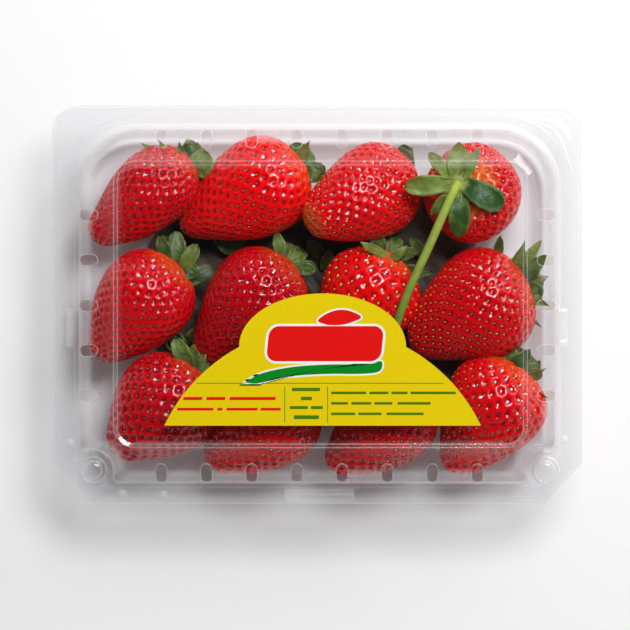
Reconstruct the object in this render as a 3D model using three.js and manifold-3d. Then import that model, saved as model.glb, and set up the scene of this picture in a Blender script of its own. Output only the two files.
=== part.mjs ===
// A punnet of strawberries: a shallow clear tray with a hinged lid, pressed from thin sheet, and
// twelve large berries lying in one layer, one of them upright with its long stem still on.
// A paper label is stuck on the flat top of the lid. Millimetres, +Z up, +X along the length,
// +Y towards the hinge at the back. The origin is on the ground under the middle of the pack.

import * as THREE from "three";
import * as BufferGeometryUtils from "three/addons/utils/BufferGeometryUtils.js";
import Module from "manifold-3d";

const wasm = await Module();
wasm.setup();

// The sheet and the clearance between pieces that touch.
const SHEET = 0.6;
const GAP = 0.3;

// Heights.
const TRAY_RIM_Z = 33.4;
const LID_RIM_Z = TRAY_RIM_Z + GAP + SHEET;
const SHOULDER_Z = 48.3;
const CREST_Z = 51.9;
const TOP_Z = 51.2;

// The flat rim all round, with round back corners and cut front corners.
const RIM = { halfX: 108.6, frontY: -81.8, round: 9.8, cutX: 15.4, cutY: 16.8 };
const HINGE = { y: 81.4, z: TRAY_RIM_Z + GAP / 2, radius: 0.4, halfLength: 97 };
const TRAY_BACK_Y = HINGE.y - 0.1;
const LID_BACK_Y = HINGE.y - 0.8;

// The lid's raised dome: a steep wall, a gentle slope up to a crest, and a flat top sunk inside it.
const DOME = { halfX: 98.2, halfY: 73.0, x: 0.2, y: -0.6, back: 24.6, front: 7, notch: 7.6 };
const SHOULDER_INSET = 5.4;
const PLATEAU = { halfX: 84.3, halfY: 58.4, x: 1.4, y: 0, back: 8.6, front: 8.6, notch: 0 };
const TOP_INSET = 1.5;

// The round snap buttons stand in hollows at the two front corners.
const BUTTONS = [[-91.6, -67.8], [93.8, -67.8]];
const BUTTON = { radius: 5.7, height: 3.4, dish: 3.9, post: 3.4, postHeight: 1.8 };

// Rows of upright slots let air through the lid's steep walls.
const SLOT_WIDTH = 4.5;
const SLOT_LENGTH = 7.6;
const SLOT_PITCH = 18.45;
const LONG_SIDE_SLOTS = { count: 8, first: -63.6 };
const SHORT_SIDE_SLOTS = { count: 5, first: -37.3 };

// Pressed lugs at the middle of the short sides, and the pull tab at the front.
const LUG = { length: 16.0, depth: 4.6, height: 5.2, y: -9.6, endLength: 3.4, middleHeight: 2.6 };
const TAB = { fromX: -13.5, toX: 15.2, fromY: -81.6, toY: -74.2, height: 0.9, ridgeY: -78.1 };

// The tray's wall, measured inwards from the dome's foot, and its raised floor panel.
const TRAY_MOUTH_INSET = 1.0;
const TRAY_WALL_INSET = 3.4;
const TRAY_FOOT_INSET = 6.6;
const TRAY_PANEL_INSET = 14.0;
const TRAY_PANEL_RISE = 1.5;
const TRAY_BEND_Z = 5.6;

// The label is a low wide arc with a rounder dome above it.
const LABEL = { thickness: 0.3, x: 2.3, bottomY: -49.4, arcY: -80.2, arcRadius: 71.5 };
const LABEL_DOME = { halfX: 34.0, halfY: 21.5, y: -17.0 };

// Each berry lies from its tip to its crown, given on the plan. Its thickness is a share of its
// width. rise is the tilt of its axis in degrees, widest where it is broadest from the tip, blunt
// how broad the tip is, and lift how far the stems and leaves below hold it off the floor. A
// length is given where the berry stands on its tip.
const REST_Z = TRAY_PANEL_RISE + SHEET + GAP;
const BERRIES = [
  { tip: [-92.9, 26.4], crown: [-51.2, 60.5], width: 34.0, thick: 1.0, rise: 8, widest: 0.64, blunt: 0.32, lift: 6 },
  { tip: [-56.6, 30.6], crown: [-4.5, 58.2], width: 42.2, thick: 0.92, rise: 10, widest: 0.66, blunt: 0.2, lift: 4.5 },
  { tip: [-4.5, 33.0], crown: [39.8, 55.1], width: 40.2, thick: 0.94, rise: -24, widest: 0.62, blunt: 0.3, lift: 4 },
  { tip: [72.6, 41.6], crown: [58.8, 48.6], width: 42.2, thick: 0.98, rise: 70, widest: 0.66, blunt: 0.2, lift: 0,
    length: 43.5 },
  { tip: [-91.4, -21.5], crown: [-57.4, 17.8], width: 40.2, thick: 0.96, rise: 10, widest: 0.62, blunt: 0.28,
    lift: 4 },
  { tip: [-48.0, -22.8], crown: [-10.7, 18.2], width: 42.2, thick: 0.94, rise: 10, widest: 0.64, blunt: 0.24,
    lift: 4 },
  { tip: [10.7, -17.8], crown: [30.3, 21.9], width: 43.0, thick: 0.84, rise: 12, widest: 0.56, blunt: 0.3, lift: 2 },
  { tip: [37.7, -17.4], crown: [87.0, 11.3], width: 46.7, thick: 0.86, rise: 8, widest: 0.64, blunt: 0.24,
    lift: 4.5 },
  { tip: [-85.3, -61.1], crown: [-46.7, -28.1], width: 45.6, thick: 0.88, rise: 10, widest: 0.64, blunt: 0.2,
    lift: 4 },
  { tip: [-45.1, -66.2], crown: [-2.5, -35.3], width: 42.2, thick: 0.92, rise: 10, widest: 0.64, blunt: 0.24,
    lift: 4 },
  { tip: [4.1, -67.6], crown: [46.7, -37.1], width: 38.5, thick: 1.0, rise: 10, widest: 0.64, blunt: 0.24,
    lift: 4 },
  { tip: [54.1, -69.4], crown: [83.8, -24.8], width: 44.3, thick: 0.88, rise: 10, widest: 0.66, blunt: 0.18,
    lift: 4 },
];
const BERRY_RINGS = 10;
const BERRY_SIDES = 16;

// The green leaves at the crowns that show from above: foot, tip and width, and how far each bows.
const LEAF_THICKNESS = 0.9;
const LEAVES = [
  { foot: [-64.0, 60.6, 26], tip: [-72.6, 66.6, 29], width: 3.2, bow: 1.5 },
  { foot: [-58.0, 57.7, 27], tip: [-65.2, 67.6, 32], width: 4.2, bow: 2 },
  { foot: [-55.0, 56.2, 27], tip: [-56.6, 67.0, 31], width: 5.0, bow: 1.5 },
  { foot: [-49.5, 49.0, 24], tip: [-46.3, 63.8, 31], width: 11.0, bow: 3 },
  { foot: [-12.3, 60.2, 27], tip: [-15.2, 67.6, 32], width: 3.4, bow: 1 },
  { foot: [-8.8, 57.1, 27], tip: [-2.9, 67.4, 33], width: 5.7, bow: 1.5 },
  { foot: [-7.5, 56.6, 26], tip: [4.1, 54.3, 28], width: 3.8, bow: 2 },
  { foot: [38.2, 55.4, 22], tip: [32.4, 63.9, 27], width: 8.6, bow: 2 },
  { foot: [57.5, 50.3, 44.5], tip: [58.2, 66.6, 40.5], width: 10.0, bow: 3.6 },
  { foot: [58.8, 50.5, 44.5], tip: [66.9, 65.0, 43], width: 5.4, bow: 3 },
  { foot: [59.7, 49.5, 44.5], tip: [76.3, 40.0, 44.5], width: 10.4, bow: 3.2 },
  { foot: [58.3, 46.8, 44.5], tip: [58.2, 27.4, 40], width: 9.0, bow: 3.4 },
  { foot: [55.1, 49.4, 44.0], tip: [35.7, 47.9, 46], width: 8.4, bow: 2 },
  { foot: [55.4, 51.2, 44.0], tip: [45.6, 62.0, 42.5], width: 5.6, bow: 3 },
  { foot: [56.6, 46.6, 42.0], tip: [46.3, 36.3, 40], width: 5.6, bow: 2 },
  { foot: [-55.7, 12.6, 24], tip: [-57.8, 30.8, 27], width: 6.6, bow: 2.5 },
  { foot: [-56.5, 12.8, 27], tip: [-49.6, 23.8, 31], width: 5.0, bow: 2 },
  { foot: [-56.9, 7.8, 24], tip: [-42.2, 15.8, 24], width: 6.6, bow: 2 },
  { foot: [-51.5, -27.5, 28], tip: [-59.0, -13.7, 32], width: 6.1, bow: 3 },
  { foot: [30.1, 19.2, 31], tip: [17.6, 25.6, 36], width: 3.6, bow: 1 },
  { foot: [30.4, 18.3, 31], tip: [37.7, 24.6, 33], width: 4.0, bow: 1.5 },
  { foot: [33.5, 13.9, 24], tip: [48.0, 13.3, 25], width: 5.7, bow: 2 },
  { foot: [73.8, 18.0, 26], tip: [75.4, 28.1, 33], width: 4.1, bow: 1 },
  { foot: [80.4, 11.0, 26], tip: [85.3, 26.4, 34], width: 5.9, bow: 2 },
  { foot: [82.5, 14.0, 26], tip: [92.3, 26.4, 31], width: 4.4, bow: 2 },
  { foot: [82.5, 8.5, 27], tip: [94.0, 20.6, 34], width: 6.6, bow: 2 },
  { foot: [84.0, 6.6, 27], tip: [95.2, 11.7, 31], width: 4.8, bow: 1.5 },
  { foot: [84.2, 4.5, 26], tip: [95.4, -0.6, 33], width: 5.7, bow: 2 },
  { foot: [84.0, -2.5, 24], tip: [92.7, -9.6, 28], width: 2.4, bow: 1.5 },
  { foot: [77.9, -30.0, 26], tip: [87.7, -18.4, 33], width: 8.2, bow: 2.5 },
  { foot: [82.3, -33.1, 26], tip: [94.4, -26.0, 31], width: 4.4, bow: 1.5 },
  { foot: [83.8, -34.0, 26], tip: [94.8, -38.3, 32], width: 3.8, bow: 2 },
];

// The long stem runs from the upright berry's crown over its neighbour, along these points.
const STEM_RADIUS = 1.8;
const STEM = [[57.6, 49.6, 41.5], [57.0, 48.6, 45.2], [53.6, 41.5, 47.6], [45.2, 22.5, 46.8], [37.8, 6.4, 45.0],
  [33.2, -6.0, 42.6], [31.4, -12.6, 40.6]];

// A low core joins the berries out of sight.
const CORE = { halfX: 72, halfY: 50, height: 13 };

function addMesh(group, name, solid, colour, roughness, more = {}) {
  const mesh = solid.getMesh();
  const geometry = new THREE.BufferGeometry();
  geometry.setAttribute("position", new THREE.BufferAttribute(new Float32Array(mesh.vertProperties), 3));
  geometry.setIndex(new THREE.BufferAttribute(new Uint32Array(mesh.triVerts), 1));
  geometry.computeVertexNormals();
  const material = new THREE.MeshStandardMaterial({ color: colour, roughness, metalness: 0, ...more });
  const out = new THREE.Mesh(geometry, material);
  out.name = name;
  group.add(out);
}

function solidOf(geometry) {
  const bare = geometry.clone();
  bare.deleteAttribute("normal");
  bare.deleteAttribute("uv");
  const merged = BufferGeometryUtils.mergeVertices(bare, 1e-4);
  return new wasm.Manifold(new wasm.Mesh({
    numProp: 3,
    vertProperties: new Float32Array(merged.attributes.position.array),
    triVerts: new Uint32Array(merged.index.array),
  }));
}

// Rings of equally many points, anticlockwise from above, joined one to the next and closed at
// both ends by a fan to the ring's middle.
function loftOf(rings) {
  const points = [];
  const faces = [];
  const count = rings[0].length;
  for (const ring of rings) {
    for (const p of ring) points.push(...p);
  }
  for (let i = 0; i + 1 < rings.length; i++) {
    for (let j = 0; j < count; j++) {
      const k = (j + 1) % count;
      const a = i * count + j;
      const b = i * count + k;
      faces.push(a, b, b + count, a, b + count, a + count);
    }
  }
  for (const [ring, start] of [[rings[0], true], [rings[rings.length - 1], false]]) {
    const middle = [0, 1, 2].map((axis) => ring.reduce((sum, p) => sum + p[axis], 0) / count);
    const centre = points.length / 3;
    points.push(...middle);
    const first = start ? 0 : (rings.length - 1) * count;
    for (let j = 0; j < count; j++) {
      const k = (j + 1) % count;
      if (start) faces.push(centre, first + k, first + j);
      else faces.push(centre, first + j, first + k);
    }
  }
  const geometry = new THREE.BufferGeometry();
  geometry.setAttribute("position", new THREE.Float32BufferAttribute(points, 3));
  geometry.setIndex(faces);
  return solidOf(geometry);
}

function boxOf(fromX, toX, fromY, toY, fromZ, toZ) {
  const geometry = new THREE.BoxGeometry(toX - fromX, toY - fromY, toZ - fromZ);
  geometry.translate((fromX + toX) / 2, (fromY + toY) / 2, (fromZ + toZ) / 2);
  return solidOf(geometry);
}

function turned(profile, sides, x, y, z) {
  const geometry = new THREE.LatheGeometry(profile.map((p) => new THREE.Vector2(p[0], p[1])), sides);
  geometry.rotateX(Math.PI / 2);
  geometry.translate(x, y, z);
  return solidOf(geometry);
}

// The directions, seen from the middle of the pack, at which every outline has a point. They are
// close together at the corners, and the cut corners' own ends are among them.
function directions() {
  const degrees = [0, 14, -15];
  for (let i = 0; i < 12; i++) degrees.push(24 + i * 2.05);
  degrees.push(62, 76, 90);
  for (let i = 0; i < 16; i++) degrees.push(-27.5 - i * 1.24);
  const cutSide = Math.atan2(RIM.frontY + RIM.cutY, RIM.halfX);
  const cutFront = Math.atan2(RIM.frontY, RIM.halfX - RIM.cutX);
  degrees.push((cutSide * 180) / Math.PI, (cutFront * 180) / Math.PI, -62, -76, -90);
  const all = new Set();
  for (const d of degrees) {
    for (const turn of [d, 180 - d]) all.add((((turn % 360) + 360) % 360).toFixed(4));
  }
  return [...all].map(Number).sort((a, b) => a - b).map((d) => (d * Math.PI) / 180);
}
const DIRECTIONS = directions();

function blendedMax(a, b, width) {
  const near = Math.max(width - Math.abs(a - b), 0) / width;
  return Math.max(a, b) + (near * near * width) / 4;
}

// How far a point lies outside a rounded rectangle that is hollowed round the snap buttons.
function outside(form, x, y) {
  const dx = x - form.x;
  const dy = y - form.y;
  const round = dy > 0 ? form.back : form.front;
  const qx = Math.abs(dx) - form.halfX + round;
  const qy = Math.abs(dy) - form.halfY + round;
  let far = Math.min(Math.max(qx, qy), 0) + Math.hypot(Math.max(qx, 0), Math.max(qy, 0)) - round;
  if (form.notch > 0) {
    for (const [bx, by] of BUTTONS) far = blendedMax(far, form.notch - Math.hypot(x - bx, y - by), 4);
  }
  return far;
}

function outsideRim(backY, x, y) {
  const dx = Math.abs(x);
  const middle = (backY + RIM.frontY) / 2;
  const halfY = (backY - RIM.frontY) / 2;
  const round = y > middle ? RIM.round : 0;
  const qx = dx - RIM.halfX + round;
  const qy = Math.abs(y - middle) - halfY + round;
  const far = Math.min(Math.max(qx, qy), 0) + Math.hypot(Math.max(qx, 0), Math.max(qy, 0)) - round;
  const cut = (dx - RIM.halfX) / RIM.cutX + (RIM.frontY - y) / RIM.cutY + 1;
  return Math.max(far, cut * 10);
}

function ringOf(far, z) {
  return DIRECTIONS.map((angle) => {
    const cos = Math.cos(angle);
    const sin = Math.sin(angle);
    let inner = 40;
    while (far((inner + 1) * cos, (inner + 1) * sin) < 0) inner += 1;
    let outer = inner + 1;
    for (let i = 0; i < 30; i++) {
      const half = (inner + outer) / 2;
      if (far(half * cos, half * sin) < 0) inner = half;
      else outer = half;
    }
    return [outer * cos, outer * sin, z];
  });
}

function inset(form, by, notch = form.notch) {
  return {
    ...form,
    halfX: form.halfX - by,
    halfY: form.halfY - by,
    back: Math.max(form.back - by, 3),
    front: Math.max(form.front - by / 2, 3),
    notch: notch > 0 ? notch + by : 0,
  };
}

function domeRing(form, z) {
  return ringOf((x, y) => outside(form, x, y), z);
}

function rimRing(backY, z) {
  return ringOf((x, y) => outsideRim(backY, x, y), z);
}

function slotOf(x, y, alongX) {
  const round = SLOT_WIDTH / 2;
  const half = SLOT_LENGTH / 2 - round;
  const shape = new THREE.Shape();
  shape.absarc(0, half, round, 0, Math.PI);
  shape.absarc(0, -half, round, Math.PI, 2 * Math.PI);
  shape.closePath();
  const geometry = new THREE.ExtrudeGeometry(shape, { depth: 30, bevelEnabled: false, curveSegments: 2 });
  if (alongX) geometry.rotateZ(Math.PI / 2);
  geometry.translate(x, y, TRAY_RIM_Z - 5);
  return solidOf(geometry);
}

function makeLid() {
  const under = LID_RIM_Z - SHEET;
  const shoulder = inset(DOME, SHOULDER_INSET);
  const top = inset(PLATEAU, TOP_INSET);
  let lid = loftOf([
    domeRing(top, TOP_Z - SHEET),
    domeRing(PLATEAU, CREST_Z - SHEET),
    domeRing(inset(shoulder, SHEET * 0.75), SHOULDER_Z - SHEET * 0.8),
    domeRing(inset(DOME, SHEET), under),
    rimRing(LID_BACK_Y, under),
    rimRing(LID_BACK_Y, LID_RIM_Z),
    domeRing(DOME, LID_RIM_Z),
    domeRing(shoulder, SHOULDER_Z),
    domeRing(PLATEAU, CREST_Z),
    domeRing(top, TOP_Z),
  ]);
  const long = SLOT_LENGTH / 2 + 0.9;
  for (let i = 0; i < LONG_SIDE_SLOTS.count; i++) {
    const x = LONG_SIDE_SLOTS.first + i * SLOT_PITCH;
    lid = lid.subtract(slotOf(x, DOME.y - DOME.halfY + long, false));
    lid = lid.subtract(slotOf(x, DOME.y + DOME.halfY - long, false));
  }
  for (let i = 0; i < SHORT_SIDE_SLOTS.count; i++) {
    const y = SHORT_SIDE_SLOTS.first + i * SLOT_PITCH;
    lid = lid.subtract(slotOf(DOME.x - DOME.halfX + long, y, true));
    lid = lid.subtract(slotOf(DOME.x + DOME.halfX - long, y, true));
  }
  for (const [x, y] of BUTTONS) {
    const hollow = [[0, -2], [BUTTON.radius - SHEET, -2], [BUTTON.radius - 1.1, BUTTON.height - SHEET],
      [0, BUTTON.height - SHEET]];
    const outer = [[0, -SHEET / 2], [BUTTON.radius, -SHEET / 2], [BUTTON.radius - 0.5, BUTTON.height],
      [BUTTON.dish, BUTTON.height], [BUTTON.dish - 1.2, BUTTON.height + 0.7], [0, BUTTON.height + 1.0]];
    lid = lid.add(turned(outer, 18, x, y, LID_RIM_Z)).subtract(turned(hollow, 18, x, y, LID_RIM_Z));
  }
  for (const side of [-1, 1]) {
    const wall = DOME.x + side * (DOME.halfX - 0.3);
    const far = DOME.x + side * (DOME.halfX + LUG.depth);
    const [fromX, toX] = [Math.min(wall, far), Math.max(wall, far)];
    const [fromY, toY] = [LUG.y - LUG.length / 2, LUG.y + LUG.length / 2];
    const low = LID_RIM_Z - SHEET / 2;
    lid = lid.add(boxOf(fromX, toX, fromY + 1, toY - 1, low, LID_RIM_Z + LUG.middleHeight));
    lid = lid.add(boxOf(fromX, toX, fromY, fromY + LUG.endLength, low, LID_RIM_Z + LUG.height));
    lid = lid.add(boxOf(fromX, toX, toY - LUG.endLength, toY, low, LID_RIM_Z + LUG.height));
  }
  const tabLow = LID_RIM_Z - SHEET / 2;
  lid = lid.add(boxOf(TAB.fromX, TAB.toX, TAB.fromY, TAB.toY, tabLow, LID_RIM_Z + TAB.height));
  lid = lid.add(boxOf(TAB.fromX, TAB.toX, TAB.ridgeY - 0.6, TAB.ridgeY + 0.6, tabLow, LID_RIM_Z + TAB.height + 1));
  return lid;
}

function makeTray() {
  const mouth = inset(DOME, TRAY_MOUTH_INSET, DOME.notch);
  const wallInset = TRAY_WALL_INSET - TRAY_MOUTH_INSET;
  const bend = { ...inset(DOME, TRAY_WALL_INSET), notch: DOME.notch + TRAY_MOUTH_INSET + wallInset * 0.3 };
  const foot = { ...inset(DOME, TRAY_FOOT_INSET), notch: bend.notch + 2 };
  const panel = { ...inset(DOME, TRAY_PANEL_INSET), notch: bend.notch + 6 };
  const wider = (form, by) => ({ ...inset(form, -by, 0), notch: form.notch - by });
  let tray = loftOf([
    domeRing(inset(panel, 1.4), TRAY_PANEL_RISE),
    domeRing(panel, 0),
    domeRing(foot, 0),
    domeRing(wider(bend, SHEET), TRAY_BEND_Z - SHEET / 2),
    domeRing(wider(mouth, SHEET), TRAY_RIM_Z - SHEET),
    rimRing(TRAY_BACK_Y, TRAY_RIM_Z - SHEET),
    rimRing(TRAY_BACK_Y, TRAY_RIM_Z),
    domeRing(mouth, TRAY_RIM_Z),
    domeRing(bend, TRAY_BEND_Z),
    domeRing(inset(foot, SHEET / 2, foot.notch), SHEET),
    domeRing(wider(panel, 0.3), SHEET),
    domeRing(inset(panel, 1.1), TRAY_PANEL_RISE + SHEET),
  ]);
  for (const [x, y] of BUTTONS) {
    const post = [[0, -SHEET / 2], [BUTTON.post, -SHEET / 2], [BUTTON.post - 0.6, BUTTON.postHeight],
      [0, BUTTON.postHeight]];
    tray = tray.add(turned(post, 16, x, y, TRAY_RIM_Z));
  }
  // The lid folds about a thin bead along the back edge.
  const bead = new THREE.CylinderGeometry(HINGE.radius, HINGE.radius, HINGE.halfLength * 2, 10);
  bead.rotateZ(Math.PI / 2);
  bead.translate(0, HINGE.y, HINGE.z);
  return tray.add(solidOf(bead));
}

// A berry's half width along its axis, from the tip at 0 to the crown at 1: nearly a cone with a
// rounded tip, then full shoulders.
function berryRadius(along, berry) {
  if (along >= berry.widest) {
    return (1 - ((along - berry.widest) / (1 - berry.widest)) ** 2.4) ** 0.55;
  }
  const x = along / berry.widest;
  const cap = Math.sqrt(Math.max(0, 1 - (1 - Math.min(x / 0.1, 1)) ** 2));
  return cap * (berry.blunt + (1 - berry.blunt) * (1 - (1 - x) ** 1.7));
}

function makeBerry(berry) {
  const tip = new THREE.Vector3(...berry.tip, 0);
  const flat = new THREE.Vector3(...berry.crown, 0).sub(tip);
  const rise = THREE.MathUtils.degToRad(berry.rise);
  const length = berry.length ?? flat.length() / Math.cos(rise);
  const axis = flat.normalize().multiplyScalar(Math.cos(rise)).setZ(Math.sin(rise));
  const side = new THREE.Vector3(-axis.y, axis.x, 0).normalize();
  const up = new THREE.Vector3().crossVectors(axis, side);
  const rings = [];
  for (let i = 1; i < BERRY_RINGS; i++) {
    const along = 0.5 - 0.5 * Math.cos((Math.PI * i) / BERRY_RINGS);
    const radius = (berryRadius(along, berry) * berry.width) / 2;
    const ring = [];
    for (let j = 0; j < BERRY_SIDES; j++) {
      const turn = (2 * Math.PI * j) / BERRY_SIDES;
      const p = tip.clone().addScaledVector(axis, along * length);
      p.addScaledVector(side, radius * Math.cos(turn));
      p.addScaledVector(up, radius * berry.thick * Math.sin(turn));
      ring.push(p.toArray());
    }
    rings.push(ring);
  }
  const solid = loftOf(rings);
  return solid.translate([0, 0, REST_Z + berry.lift - solid.boundingBox().min[2]]);
}

// A leaf is a thin bowed and slightly wavy strip, pointed at its tip.
function makeLeaf(leaf) {
  const foot = new THREE.Vector3(...leaf.foot);
  const run = new THREE.Vector3(...leaf.tip).sub(foot);
  const side = new THREE.Vector3(-run.y, run.x, 0).normalize();
  const up = new THREE.Vector3().crossVectors(run, side).normalize();
  const rings = [];
  const steps = 4;
  for (let i = 0; i <= steps; i++) {
    const along = i / steps;
    const half = (leaf.width / 2) * (0.28 + 0.72 * Math.sin(Math.PI * Math.min(along * 0.92 + 0.1, 1)));
    const middle = foot.clone().addScaledVector(run, along);
    middle.addScaledVector(up, leaf.bow * Math.sin(Math.PI * along));
    const ring = [];
    for (const [across, over] of [[-1, -0.5], [0, -0.85], [1, -0.5], [1, 0.5], [0, 0.15], [-1, 0.5]]) {
      const p = middle.clone().addScaledVector(side, across * half);
      const wave = 0.35 * Math.sin(along * 9 + across * 2);
      p.addScaledVector(up, over * LEAF_THICKNESS + wave);
      ring.push(p.toArray());
    }
    rings.push(ring);
  }
  return loftOf(rings);
}

function makeStem() {
  const path = new THREE.CatmullRomCurve3(STEM.map((p) => new THREE.Vector3(...p)));
  const section = new THREE.Shape();
  section.absarc(0, 0, STEM_RADIUS, 0, Math.PI * 2);
  return solidOf(new THREE.ExtrudeGeometry(section, { steps: 12, curveSegments: 5, extrudePath: path }));
}

function makeBerries() {
  let heap = boxOf(-CORE.halfX, CORE.halfX, -CORE.halfY, CORE.halfY, REST_Z, REST_Z + CORE.height);
  for (const berry of BERRIES) heap = heap.add(makeBerry(berry));
  for (const leaf of LEAVES) heap = heap.add(makeLeaf(leaf));
  return heap.add(makeStem());
}

function makeLabel() {
  const outline = new THREE.Shape();
  const drop = LABEL.bottomY - LABEL.arcY;
  const halfWidth = Math.sqrt(LABEL.arcRadius ** 2 - drop ** 2);
  const meetX = LABEL_DOME.halfX;
  const arcStart = Math.atan2(drop, halfWidth);
  const arcEnd = Math.acos(meetX / LABEL.arcRadius);
  outline.absarc(0, LABEL.arcY, LABEL.arcRadius, arcStart, arcEnd, false);
  outline.absellipse(0, LABEL_DOME.y, LABEL_DOME.halfX, LABEL_DOME.halfY, 0, Math.PI, false);
  outline.absarc(0, LABEL.arcY, LABEL.arcRadius, Math.PI - arcEnd, Math.PI - arcStart, false);
  outline.closePath();
  const geometry = new THREE.ExtrudeGeometry(outline, {
    depth: LABEL.thickness, bevelEnabled: false, curveSegments: 9,
  });
  geometry.translate(LABEL.x, 0, TOP_Z + GAP);
  return solidOf(geometry);
}

const punnet = new THREE.Group();
punnet.name = "punnet_of_strawberries";
const clear = { transparent: true, opacity: 0.3 };
addMesh(punnet, "tray", makeTray(), 0xd9dde0, 0.15, clear);
addMesh(punnet, "lid", makeLid(), 0xe3e7ea, 0.12, clear);
addMesh(punnet, "label", makeLabel(), 0xe8d400, 0.55);
addMesh(punnet, "berries", makeBerries(), 0xc20d18, 0.4);

export default punnet;
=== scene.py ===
# %% [markdown]
# # A punnet of strawberries
# A shallow clear tray holds twelve big strawberries in one layer, under a hinged clear lid with a
# yellow paper label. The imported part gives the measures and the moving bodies. Every piece below
# is a finer version of one of its solids, made in the same place: the two pressed sheets, the
# label, and each berry with its pits, seeds and green leaves.

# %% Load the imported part
import math

import bpy
import numpy as np
from mathutils import Matrix, Vector


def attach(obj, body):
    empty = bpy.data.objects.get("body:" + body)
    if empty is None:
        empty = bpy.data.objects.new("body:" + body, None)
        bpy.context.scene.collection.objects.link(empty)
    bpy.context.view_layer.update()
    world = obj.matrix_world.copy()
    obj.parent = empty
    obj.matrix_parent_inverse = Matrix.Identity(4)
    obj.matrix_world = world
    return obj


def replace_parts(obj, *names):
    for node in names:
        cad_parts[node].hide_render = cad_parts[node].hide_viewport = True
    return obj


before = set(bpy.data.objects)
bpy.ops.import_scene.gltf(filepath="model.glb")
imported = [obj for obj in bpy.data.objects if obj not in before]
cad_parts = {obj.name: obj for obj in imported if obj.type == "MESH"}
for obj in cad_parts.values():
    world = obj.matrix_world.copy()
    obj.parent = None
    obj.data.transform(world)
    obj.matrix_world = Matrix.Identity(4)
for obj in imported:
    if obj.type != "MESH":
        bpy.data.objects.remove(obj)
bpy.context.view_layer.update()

# %% [markdown]
# ## Camera and light
# The pack lies on a white table and is seen from straight above. A long lens far away keeps the
# walls from leaning outwards. A round lamp stands behind on the right: it draws the soft shadow at
# the front left. A long narrow one, lower on the same side, sets the pale highlights on the
# berries' shoulders and the bright lines on the lid's bends. The pale room, a little brighter on
# the lamps' side, fills the shadows. Reflections see it only low down, as if a dark cloth hung
# over the table, so that the lid mirrors nothing and the berries keep their deep colour.

# %% Camera
LENS, SENSOR = 400, 36
SEEN_WIDTH, SEEN_AT_Z = 0.2583, 0.034
CAMERA_X, CAMERA_Y = -0.0008, -0.0043


def linked(name, data):
    made = bpy.data.objects.new(name, data)
    bpy.context.scene.collection.objects.link(made)
    return made


eye = bpy.data.cameras.new("straight_down")
eye.lens, eye.sensor_width = LENS, SENSOR
eye.clip_start, eye.clip_end = 0.1, 20
camera = linked("straight_down", eye)
camera.location = (CAMERA_X, CAMERA_Y, SEEN_AT_Z + SEEN_WIDTH * LENS / SENSOR)
bpy.context.scene.camera = camera
bpy.context.scene.view_settings.view_transform = "Standard"


# %% Lamps
def lamp(name, towards, distance, power, **form):
    """An area lamp that stands in one direction and shines at the middle of the pack."""
    data = bpy.data.lights.new(name, "AREA")
    data.energy = power
    for key, value in form.items():
        setattr(data, key, value)
    made = linked(name, data)
    direction = Vector(towards).normalized()
    made.location = direction * distance
    made.rotation_euler = direction.to_track_quat("Z", "Y").to_euler()


lamp("key_lamp", (0.235, 0.42, 0.877), 1.3, 15, shape="DISK", size=0.54)
lamp("side_lamp", (0.60, 0.58, 0.55), 1.3, 3.0, shape="RECTANGLE", size=0.9, size_y=0.12)


# %% How a shader is put together
def wire(tree, kind, sockets=(), out=0, **settings):
    """Adds a node with its settings, and its sockets by place or name. Returns one output."""
    made = tree.nodes.new(kind)
    for key, value in settings.items():
        setattr(made, key, value)
    for key, value in dict(sockets).items():
        if isinstance(value, bpy.types.NodeSocket):
            tree.links.new(value, made.inputs[key])
        else:
            made.inputs[key].default_value = value
    return made.outputs[out] if len(made.outputs) else None


class Shading:
    """The shader tree of a material or a world. Each call adds a node and returns its output."""

    def __init__(self, owner):
        owner.use_nodes = True
        self.owner, self.tree = owner, owner.node_tree
        self.tree.nodes.clear()

    def add(self, kind, sockets=(), out=0, **settings):
        return wire(self.tree, "ShaderNode" + kind, sockets, out, **settings)

    def carried(self, name):
        """A value that the mesh carries on its points."""
        return self.add("Attribute", out="Fac", attribute_name=name)

    def noise(self, scale, detail, roughness=0.5):
        return self.add("TexNoise", {"Vector": self.add("TexCoord", out="Object"), "Scale": scale,
                                     "Detail": detail, "Roughness": roughness})

    def ramp(self, value, *stops):
        colour = self.add("ValToRGB", {0: value})
        for element, (position, shade) in zip(colour.node.color_ramp.elements, stops):
            element.position, element.color = position, (*shade, 1)
        return colour

    def times_plus(self, value, times, plus):
        return self.add("Math", {0: value, 1: times, 2: plus}, operation="MULTIPLY_ADD")

    def clamped_sum(self, first, second):
        return self.add("Math", {0: first, 1: second}, operation="ADD", use_clamp=True)

    def ranged(self, value, low, high, start=0.0, end=1.0):
        return self.add("MapRange", {"Value": value, 1: start, 2: end, 3: low, 4: high})

    def bump(self, height, strength, distance):
        return self.add("Bump", {"Height": height, "Strength": strength, "Distance": distance})

    def mix(self, share, first, second):
        return self.add("Mix", {0: share, 6: first, 7: second}, out=2, data_type="RGBA")

    def finished(self, shader):
        self.add("OutputMaterial", {"Surface": shader})
        return self.owner

    def solid(self, colour, roughness, **more):
        """Ends an opaque material, with further sockets of the Principled shader by name."""
        sockets = {key.replace("_", " "): value for key, value in more.items()}
        sockets.update({"Base Color": colour, "Roughness": roughness})
        return self.finished(self.add("BsdfPrincipled", sockets))


def paint(name):
    return Shading(bpy.data.materials.new(name))


def srgb(red, green, blue):
    """A colour as it is read off a screen, 0 to 255, as linear light."""
    parts = [c / 255 for c in (red, green, blue)]
    return [c / 12.92 if c <= 0.04045 else ((c + 0.055) / 1.055) ** 2.4 for c in parts] + [1.0]


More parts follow.
